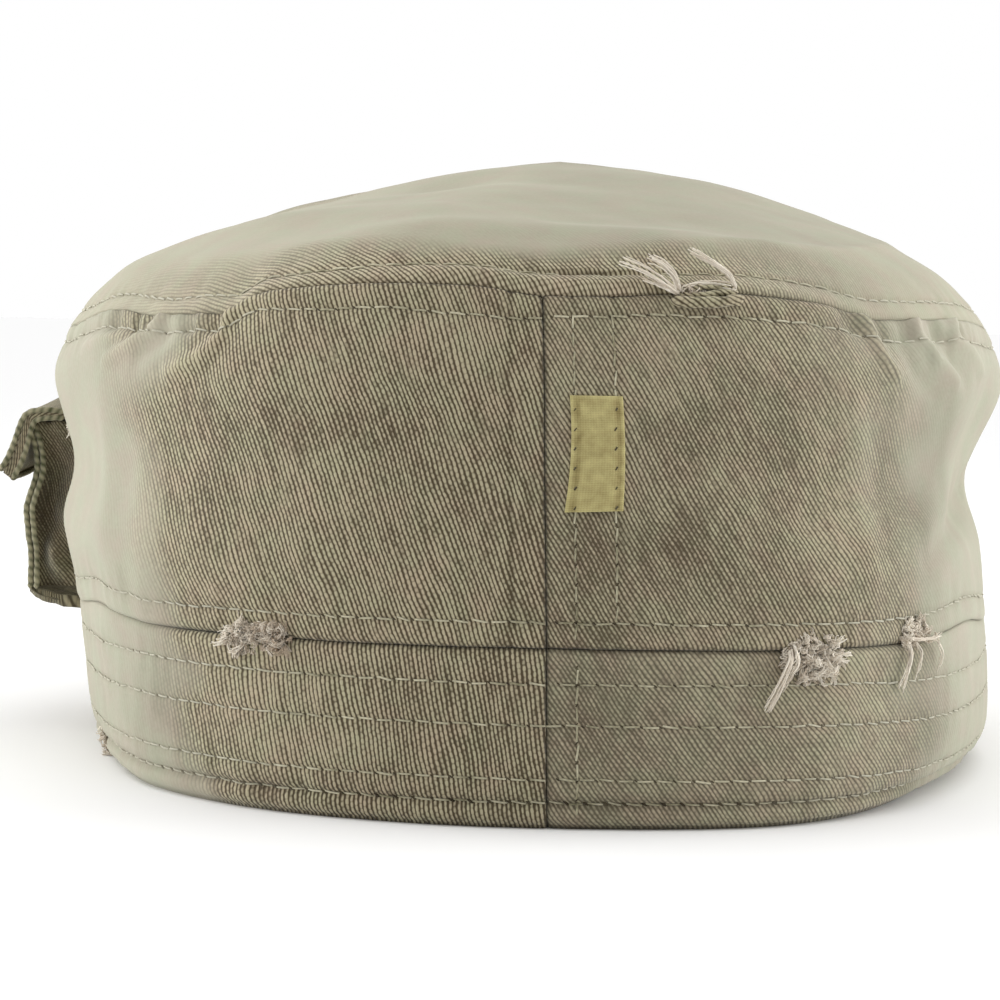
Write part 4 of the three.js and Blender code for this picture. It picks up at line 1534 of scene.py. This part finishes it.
# The stitches: pale cotton thread in rows, one short arched length for each stitch and a
# dark dot at each of its ends, painted shade where the needle went through. A small tree
# of nodes sets them along the rows.
STITCH_PITCH = 3.0
STITCH_THREAD = 0.16
HOLE_SIZE = 0.14
RIM_HOLE_SIZE = 0.26
PALE_FROM = 32
PALE_OVER = 25
STITCH_SIDES = 5
LEAST_STITCH = 0.88
MOST_STITCH = 1.08
TANGENT_STEP = 0.8
STITCH_SCATTER = 0.05
# Colours for the back, dark and light, and a pale one for the sides: painted side light
SEWING_THREAD = dict(dark=(0.24, 0.22, 0.135), light=(0.6, 0.56, 0.41), pale=(0.47, 0.45, 0.36))
NEEDLE_HOLE_SHADE = dict(dark=(0.04, 0.03, 0.018), light=(0.09, 0.075, 0.045), pale=(0.2, 0.18, 0.13))


def thread_material(name, dark, light, pale):
    """Cotton that is patchy at the back and painted pale at the sides, like the cloth there, for the side
    light
    """
    material, tree = new_material(name)
    place = tree.node("ShaderNodeTexCoord", {}, output=3)
    fibres = tree.node("ShaderNodeTexNoise", {"Vector": place, "Scale": 1400.0, "Detail": 3.0})
    patches = tree.node("ShaderNodeTexNoise", {"Vector": place, "Scale": 170.0, "Detail": 2.0})
    tone = ((fibres - 0.5) * 1.1 + (patches - 0.5) * 2.4 + 0.5).clamped()
    aside = tree.node("ShaderNodeSeparateXYZ", {0: place}).maths("ABSOLUTE")
    # Towards the sides the thread is painted pale, for the side light that the cloth is painted with too
    side_light_paling = ((aside - PALE_FROM * MM) / (PALE_OVER * MM)).clamped()
    colour = side_light_paling.mix(tone.mix((*dark, 1), (*light, 1)), (*pale, 1))
    normal = tree.node("ShaderNodeBump", {"Strength": 0.4, "Distance": 0.06 * MM, "Height": fibres})
    finish_cloth(tree, colour, normal)
    return material


def stitch_tree():
    """A tree that lays one arched thread at each point, along it and out of the cloth"""
    tree = bpy.data.node_groups.new("stitches", "GeometryNodeTree")
    sockets = (
        ("Geometry", "NodeSocketGeometry"),
        ("Length", "NodeSocketFloat"),
        ("Radius", "NodeSocketFloat"),
        ("Rise", "NodeSocketFloat"),
        ("Seed", "NodeSocketInt"),
        ("Material", "NodeSocketMaterial"),
    )
    for label, kind in sockets:
        tree.interface.new_socket(label, in_out="INPUT", socket_type=kind)
    tree.interface.new_socket("Geometry", in_out="OUTPUT", socket_type="NodeSocketGeometry")
    given = tree.nodes.new("NodeGroupInput").outputs

    def node(kind, links, settings=None):
        made = tree.nodes.new(kind)
        for label, setting in (settings or {}).items():
            setattr(made, label, setting)
        for label, link in links.items():
            if isinstance(link, bpy.types.NodeSocket):
                tree.links.new(link, made.inputs[label])
            else:
                made.inputs[label].default_value = link
        return made.outputs

    half = node("ShaderNodeMath", {0: given["Length"], 1: 0.5}, {"operation": "MULTIPLY"})[0]
    back = node("ShaderNodeMath", {0: half, 1: -1.0}, {"operation": "MULTIPLY"})[0]
    dip = node("ShaderNodeMath", {0: given["Rise"], 1: -0.6}, {"operation": "MULTIPLY"})[0]
    peak = node("ShaderNodeMath", {0: given["Rise"], 1: 2.0}, {"operation": "MULTIPLY"})[0]
    start = node("ShaderNodeCombineXYZ", {"X": dip, "Z": back})[0]
    middle = node("ShaderNodeCombineXYZ", {"X": peak})[0]
    end = node("ShaderNodeCombineXYZ", {"X": dip, "Z": half})[0]
    bend = {"Resolution": STITCH_SIDES, "Start": start, "Middle": middle, "End": end}
    arc = node("GeometryNodeCurveQuadraticBezier", bend)[0]
    section = {"Resolution": STITCH_SIDES, "Radius": given["Radius"]}
    circle = node("GeometryNodeCurvePrimitiveCircle", section)[0]
    thread = node("GeometryNodeCurveToMesh", {"Curve": arc, "Profile Curve": circle, "Fill Caps": True})[0]
    along = node("GeometryNodeInputNamedAttribute", {"Name": "along"}, {"data_type": "FLOAT_VECTOR"})[0]
    out = node("GeometryNodeInputNamedAttribute", {"Name": "out"}, {"data_type": "FLOAT_VECTOR"})[0]
    axes = {"primary_axis": "Z", "secondary_axis": "X"}
    turn = node("FunctionNodeAxesToRotation", {"Primary Axis": along, "Secondary Axis": out}, axes)[0]
    sizes = {2: LEAST_STITCH, 3: MOST_STITCH, "Seed": given["Seed"]}
    size = node("FunctionNodeRandomValue", sizes, {"data_type": "FLOAT"})[1]
    places = {"Points": given["Geometry"], "Instance": thread, "Rotation": turn, "Scale": size}
    laid = node("GeometryNodeInstanceOnPoints", places)[0]
    real = node("GeometryNodeRealizeInstances", {"Geometry": laid})[0]
    made = node("GeometryNodeSetMaterial", {"Geometry": real, "Material": given["Material"]})[0]
    tree.links.new(made, tree.nodes.new("NodeGroupOutput").inputs["Geometry"])
    return tree


def even_places(line, pitch, offset):
    """Positions, directions and ways out at an even pitch along a line"""
    points = line[:, 0]
    lengths = lengths_along(points)
    places = np.arange(offset * pitch, lengths[-1] - 0.4 * pitch, pitch)

    def at(numbers, wanted):
        return np.stack([np.interp(wanted, lengths, numbers[:, axis]) for axis in range(3)], 1)

    along = at(points, places + TANGENT_STEP) - at(points, places - TANGENT_STEP)
    return at(points, places), unit(along), unit(at(line[:, 1], places))


def lay(name, lines, tree, material, seed, length, radius, rise, offset, lift, slant, least_crisp):
    """Stitches, or dark dots of painted shade where the needle went in, along some lines, as one plain mesh
    """
    found = [even_places(line, STITCH_PITCH, offset) for line in lines]
    points, along, out = (np.concatenate([row[part] for row in found]) for part in range(3))
    rng = np.random.default_rng(seed)
    # Dots are left out where the cloth is less crisp and painted pale for the side light
    worn = crispness(np.degrees(np.arctan2(points[:, 0], points[:, 1])))
    shown = worn > least_crisp * rng.uniform(0.6, 1.4, len(points))
    points, along, out = points[shown], along[shown], out[shown]
    aside = np.cross(along, out)
    lean = (slant + rng.normal(0, 0.07, len(points)))[:, None]
    points = points + out * lift + aside * rng.normal(0, STITCH_SCATTER, (len(points), 1))
    along = unit(along + aside * lean)
    mesh = bpy.data.meshes.new(name)
    mesh.from_pydata((points * MM).tolist(), [], [])
    for label, vectors in (("along", along), ("out", out)):
        attribute = mesh.attributes.new(label, "FLOAT_VECTOR", "POINT")
        attribute.data.foreach_set("vector", vectors.astype(np.float32).ravel())
    piece = bpy.data.objects.new(name, mesh)
    bpy.context.collection.objects.link(piece)
    modifier = piece.modifiers.new("stitches", "NODES")
    modifier.node_group = tree
    sizes = {"Length": length * MM, "Radius": radius * MM, "Rise": rise * MM}
    given = {**sizes, "Seed": seed, "Material": material}
    for item in tree.interface.items_tree:
        if item.name in given:
            modifier[item.identifier] = given[item.name]
    bpy.context.view_layer.update()
    evaluated = piece.evaluated_get(bpy.context.evaluated_depsgraph_get())
    finished = bpy.data.meshes.new_from_object(evaluated)
    finished.polygons.foreach_set("use_smooth", np.ones(len(finished.polygons), bool))
    piece.modifiers.remove(modifier)
    piece.data = finished
    keep(piece)


def crown_rows():
    """The crown's rows of stitches, and the rows of dark dots of painted shade where the
    needle went in, which run on over the label where its two rows hold it"""
    front_side = front.from_start + FRONT_PLACES
    sides = ((back_left, back_left.from_start), (back_right, -back_right.from_end), (front, front_side))
    rows = []
    for cloth, side in sides:
        rows.append(cloth.level_line(cloth.up, STITCH_LOWER))
        rows.append(cloth.level_line(cloth.down - upper_row(side), 0))
    hole_rows = list(rows)
    label = (LABEL_LOW, LABEL_HIGH, LABEL_LIFT + LABEL_PUFF)
    for row, lowest in zip(TWIN_ROWS, (ROW_MARGIN, STITCH_LOWER)):
        rows.append(back_right.upright_line(back_right.from_end, row, lowest, ROW_MARGIN))
        hole_rows.append(back_right.upright_line(back_right.from_end, row, lowest, ROW_MARGIN, label))
    for distances in (front.from_start, front.from_end):
        rows.append(front.upright_line(distances, FRONT_ROW, 1, 1))
    return [*rows, top_stitch_line], hole_rows


def sewing():
    tree = stitch_tree()
    thread = thread_material("sewing thread", **SEWING_THREAD)
    # Dark dots of painted shade where the needle went through
    hole = thread_material("needle hole shade", **NEEDLE_HOLE_SHADE)
    crown, crown_holes = crown_rows()
    halves = (band_left, band_right)
    rim = [cloth.level_line(cloth.up, BAND_ROWS[0]) for cloth in halves]
    band = [cloth.level_line(cloth.up, row) for cloth in halves for row in BAND_ROWS[1:]]
    band.append(band_right.upright_line(band_right.from_end, TWIN_ROWS[0], 1.5, ROW_MARGIN))
    groups = named_rows(
        "name lines holes slot hole_size seed",
        ("crown", crown, crown_holes, "crown_twill", HOLE_SIZE, 5),
        ("band", band, band, "band_twill", HOLE_SIZE, 6),
        ("rim", rim, rim, "band_twill", RIM_HOLE_SIZE, 8),
        ("peak", peak_stitch_lines, [], "peak_twill", HOLE_SIZE, 7),
    )
    for row in groups:
        lay(f"{row['name']}_stitches", row["lines"], tree, thread, row["seed"], length=2.3,
            radius=STITCH_THREAD, rise=0.14, offset=0.5, lift=0.08, slant=0.06, least_crisp=0)
        if row["holes"]:
            lay(f"{row['name']}_needle_hole_shade", row["holes"], tree, hole, row["seed"] + 10,
                length=4 * row["hole_size"], radius=row["hole_size"], rise=0.02, offset=1.0, lift=-0.02,
                slant=0.8, least_crisp=0.6)


sewing()


# The frays: worn holes along the seams, filled with the soft ends of broken yarns, and
# a few longer threads that hang from them. Below the one at the top seam the cloth's
# edge has rolled outwards into a lip.
FRAY_SEED = 404
FIBRES_IN_CLUMP = 8
FIBRE_STEPS = 8
FIBRE_SIDES = 4
THREAD_STEPS = 18
THREAD_SIDES = 5
LIP_SIDES = 20
LOWEST_FIBRE = 0.2
LIPS = named_rows(
    "radius path",
    (0.85, [(5.6, -1.0, -0.5), (4.6, -1.9, 0.4), (2, -2.3, 0.7), (-2, -2.5, 0.7),
            (-4.8, -2.1, 0.5), (-6, -1.2, -0.5)]),
    (0.5, [(5, -0.5, 0), (3, -0.9, 0.5), (0.5, -1.1, 0.7), (-2, -0.8, 0.7),
           (-4.4, -1, 0.5), (-5.4, -0.4, 0)]),
    (0.42, [(4.4, 0.5, 0), (2.4, 0.2, 0.5), (0, 0.3, 0.6), (-2.4, 0.1, 0.6), (-5.2, 0.6, 0)]),
)
THREADS = named_rows(
    "fray path strands",
    ("middle_fray", [(4.6, 0.8, 0.4), (5.4, -1.2, 1.3), (7, -4.6, 1.2), (8.6, -8.0, 0.5)], 16),
    ("middle_fray", [(4.2, 1.6, 0.4), (4, -0.6, 1.5), (5, -2.6, 1.3), (6.2, -5, 0.8)], 5),
    ("right_fray", [(3.6, -0.9, 0.4), (3.2, -3.2, 1.1), (4.2, -6, 1), (5.4, -8.6, 0.5)], 9),
    ("right_fray", [(0.6, -1.4, 0.5), (-0.2, -3, 1.1), (0.3, -4.8, 1), (0.2, -6.6, 0.4)], 4),
    ("right_fray", [(3.8, -0.6, 0.6), (0, -1.1, 1.4), (-3.6, -1.2, 1.4), (-6.2, -0.8, 1)], 5),
    ("right_fray", [(-5.4, -0.6, 0.8), (-6, -2.4, 1.3), (-7.6, -4.2, 1.1), (-7.2, -6.6, 0.5)], 3),
    ("top_fray", [(4.4, -0.4, 0.4), (6.8, 1.4, 1.3), (9.4, 3.6, 1.2), (12, 5.4, 0.8)], 9),
    ("top_fray", [(4.2, 0, 0.5), (5, 2, 1.6), (6.4, 4, 1.7), (7.8, 5.6, 1)], 16),
    ("top_fray", [(4.6, -0.6, 0.4), (6.6, 0.2, 1.2), (7.8, 0.9, 1.2), (9, 1.9, 0.8)], 8),
    ("top_fray", [(-5, 0.2, 0.5), (-3.8, 2.4, 1.4), (-1.6, 4.6, 1.3), (0.6, 6.9, 0.7)], 14),
    ("top_fray", [(4, 0.1, 0.2), (1.6, 0.8, 0.5), (-1.6, 0.7, 0.5), (-4.6, 0.2, 0.2)], 18),
)


def fibre_material():
    material, tree = new_material("loose fibres")
    tint = read_value(tree, "tint")
    colour = tint.mix((0.42, 0.33, 0.24, 1), (0.9, 0.84, 0.73, 1))
    place = tree.node("ShaderNodeTexCoord", {}, output=3)
    grain = tree.node("ShaderNodeTexNoise", {"Vector": place, "Scale": 3000.0})
    normal = tree.node("ShaderNodeBump", {"Strength": 0.3, "Distance": 0.05 * MM, "Height": grain})
    finish_cloth(tree, colour, normal)
    return material


def smooth_path(corners, steps):
    table = [dict(x=x, y=y, z=z) for x, y, z in corners]
    row = row_at(table, np.linspace(0, len(corners) - 1, steps))
    return np.stack([row["x"], row["y"], row["z"]], 1)


def fibre_clumps(name, fray, rng, material):
    """The soft ends of broken yarns all over a hole, each a clump of fibres that share
    one curl: they lie along the seam in its upper half and hang in its lower one"""
    origin, axes = local_axes(fray["angle"], fray["ring"])
    count = fray["clumps"]
    around = rng.uniform(0, 2 * np.pi, count)
    share = np.sqrt(rng.uniform(0, 1, count))
    x = np.cos(around) * share * (fray["width"] - 0.6)
    y = np.sin(around) * share * (fray["height"] - 0.4)
    low = (y < 0.1 * fray["height"])[:, None]
    hanging = np.stack([0.5 * x / fray["width"], x * 0 - 1, x * 0 + 0.5], 1)
    lying = np.stack([rng.choice([-1, 1], count), x * 0 + 0.25, x * 0 + 0.5], 1)
    heading = unit(np.where(low, hanging, lying) + rng.normal(0, 0.4, (count, 3)))
    curl = rng.normal(0, 0.35, (count, 3))
    length = rng.uniform(1.3, 2.6, count) + fray["hang"] * low[:, 0]
    centre = [np.stack([x, y, rng.uniform(-0.5, 0.1, count)], 1)]
    for _ in range(FIBRE_STEPS - 1):
        heading = unit(heading + np.cross(heading, curl) - [0, 0.04, 0.13])
        moved = centre[-1] + heading * (length / FIBRE_STEPS)[:, None]
        moved[:, 2] = np.maximum(moved[:, 2], -0.3)
        centre.append(moved)
    centre = np.repeat(np.stack(centre, 1), FIBRES_IN_CLUMP, 0)
    total = len(centre)
    opening = np.linspace(0.7, 1.5, FIBRE_STEPS)[None, :, None]
    spread = rng.normal(0, 0.17, (total, 1, 3)) * opening
    wobble = np.cumsum(rng.normal(0, 0.05, (total, FIBRE_STEPS, 3)), 1)
    paths = (centre + spread + wobble) @ axes + origin
    paths[..., 2] = np.maximum(paths[..., 2], LOWEST_FIBRE)
    radii = rng.uniform(0.07, 0.145, (total, 1)) * np.linspace(1, 0.5, FIBRE_STEPS)
    points, faces = tube_points(paths, radii, FIBRE_SIDES)
    tint = rng.uniform(0.15, 0.85, count) + fray["pale"] + fray["pale_side"] * x / fray["width"]
    tint = np.repeat(tint, FIBRES_IN_CLUMP) + rng.normal(0, 0.1, total)
    tint = np.clip(np.repeat(tint, FIBRE_STEPS * FIBRE_SIDES), 0, 1)
    keep(add_mesh(name, points, faces, material, {"tint": tint}))


def loose_threads(rng, material):
    """The longer threads, each one a loose strand of yarns on a path of its own"""
    paths = []
    frays = {fray["name"]: fray for fray in FRAYS}
    for thread in THREADS:
        fray = frays[thread["fray"]]
        origin, axes = local_axes(fray["angle"], fray["ring"])
        path = smooth_path(thread["path"], THREAD_STEPS)
        for _ in range(thread["strands"]):
            spread = rng.normal(0, 0.26, 3) * np.linspace(0.5, 1.4, THREAD_STEPS)[:, None]
            wobble = np.cumsum(rng.normal(0, 0.05, (THREAD_STEPS, 3)), 0)
            paths.append((path + spread * [1, 1, 0.5] + wobble) @ axes + origin)
    radii = np.tile(np.linspace(0.14, 0.07, THREAD_STEPS), (len(paths), 1))
    points, faces = tube_points(np.array(paths), radii, THREAD_SIDES)
    tint = np.repeat(rng.uniform(0.4, 1, len(paths)), THREAD_STEPS * THREAD_SIDES)
    keep(add_mesh("loose_threads", points, faces, material, {"tint": tint}))


def rolled_lips():
    """The turned edges of the top fray, rolled into lumpy cords"""
    fray = next(fray for fray in FRAYS if fray["name"] == "top_fray")
    origin, axes = local_axes(fray["angle"], fray["ring"])
    for number, lip in enumerate(LIPS):
        path = evenly(smooth_path(lip["path"], 60), ROPE_STEP)
        along = lengths_along(path)[:, None]
        turn = np.linspace(0, 2 * np.pi, LIP_SIDES, endpoint=False)[None]
        ends = np.sqrt(np.clip(np.minimum(along, along[-1] - along) / 1.6, 0.03, 1))
        lumps = 1 + 0.26 * soft_noise(along / 1.1, turn * 0.9, 95 + number)
        radii = lip["radius"] * ends * lumps
        points, faces = tube_points((path @ axes + origin)[None], radii[None], LIP_SIDES)
        around = lip["radius"] * ((turn + np.pi) % (2 * np.pi)) + 0 * along
        grain = turned_map(along + 0 * turn, around, 38).reshape(-1, 2)
        wear_and_painted_light = 0.08 + 0.3 * soft_noise(along / 0.9, turn * 0.6, 105 + number).ravel()
        values = {"wear_and_painted_light": wear_and_painted_light, "crisp": np.ones(len(points))}
        cord = add_mesh(f"top_fray_lip_{number + 1}", points, faces, crown_twill, values, grain)
        keep(cord)


def fraying():
    material = fibre_material()
    rng = np.random.default_rng(FRAY_SEED)
    for fray in FRAYS:
        fibre_clumps(fray["name"], fray, rng, material)
    loose_threads(rng, material)
    rolled_lips()


fraying()


# The floor: a wide sheet in a plain pale finish, flat at height 0. It reaches well past
# the edges of the picture, and the cap stands on it.
FLOOR_REACH = 12.0
FLOOR_COLOUR = (0.9, 0.9, 0.9, 1)


def floor():
    material, tree = new_material("pale floor")
    shader = tree.node("ShaderNodeBsdfPrincipled", {"Base Color": FLOOR_COLOUR, "Roughness": 0.9})
    tree.node("ShaderNodeOutputMaterial", {"Surface": shader})
    mesh = bpy.data.meshes.new("floor")
    corners = [(FLOOR_REACH * x, FLOOR_REACH * y, 0) for x, y in ((-1, -1), (1, -1), (1, 1), (-1, 1))]
    mesh.from_pydata(corners, [], [(0, 1, 2, 3)])
    mesh.materials.append(material)
    sheet = bpy.data.objects.new("floor", mesh)
    bpy.context.collection.objects.link(sheet)


floor()


# The light: a white sky that is strongest overhead, and soft panels at both sides, so
# that the sides and the top are pale and the back of the cap is a little darker.
SKY_LEVEL = 0.12
SKY_OVERHEAD = 2.0
SOFT_LIGHTS = named_rows(
    "name place width height power",
    ("left_light", (0.8, -0.08, 0.17), 0.6, 0.3, 4.95),
    ("right_light", (-0.8, -0.08, 0.17), 0.6, 0.3, 4.5),
)
LIGHT_AIM = Vector((0, 0, 0.06))


def lights():
    for light in SOFT_LIGHTS:
        data = bpy.data.lights.new(light["name"], "AREA")
        data.shape = "RECTANGLE"
        data.size = light["width"]
        data.size_y = light["height"]
        data.energy = light["power"]
        lamp = bpy.data.objects.new(light["name"], data)
        lamp.location = light["place"]
        lamp.rotation_euler = (LIGHT_AIM - lamp.location).to_track_quat("-Z", "Y").to_euler()
        bpy.context.collection.objects.link(lamp)
    world = bpy.data.worlds.new("studio")
    bpy.context.scene.world = world
    world.use_nodes = True
    tree = world.node_tree
    tree.nodes.clear()
    start = Value(tree, None)
    seen = start.node("ShaderNodeLightPath", {})
    way = start.node("ShaderNodeTexCoord", {})
    height = start.node("ShaderNodeSeparateXYZ", {0: way}, output=2).maths("MAXIMUM", 0.0)
    strength = height * height * SKY_OVERHEAD + SKY_LEVEL
    white = start.node("ShaderNodeBackground", {"Color": (1, 1, 1, 1), "Strength": 1.0})
    sky = start.node("ShaderNodeBackground", {"Color": (1, 1, 1, 1), "Strength": strength})
    both = start.node("ShaderNodeMixShader", {0: seen, 1: sky, 2: white})
    start.node("ShaderNodeOutputWorld", {"Surface": both})
    bpy.context.scene.view_settings.view_transform = "Standard"


lights()


# The camera: behind the cap, a little above the middle of its back, tilted down by a few
# degrees and rolled by one, with its lens moved aside so that the cap fills the picture.
CAMERA_PLACE = Vector((0, 0.55, 0.08))
CAMERA_TILT = math.radians(3.716)
CAMERA_ROLL = math.radians(1.0)
CAMERA_LENS = 106.64
CAMERA_SHIFT = -0.032
CAMERA_SENSOR = 36


def camera():
    data = bpy.data.cameras.new("camera")
    data.sensor_width = CAMERA_SENSOR
    data.lens = CAMERA_LENS
    data.shift_x = CAMERA_SHIFT
    eye = bpy.data.objects.new("camera", data)
    ahead = Vector((0, -math.cos(CAMERA_TILT), -math.sin(CAMERA_TILT)))
    up = Vector((0, -math.sin(CAMERA_TILT), math.cos(CAMERA_TILT)))
    right = Vector((-1, 0, 0))
    turned_right = right * math.cos(CAMERA_ROLL) + up * math.sin(CAMERA_ROLL)
    turned_up = up * math.cos(CAMERA_ROLL) - right * math.sin(CAMERA_ROLL)
    facing = Matrix((turned_right, turned_up, -ahead)).transposed().to_4x4()
    eye.matrix_world = Matrix.Translation(CAMERA_PLACE) @ facing
    bpy.context.collection.objects.link(eye)
    bpy.context.scene.camera = eye


camera()
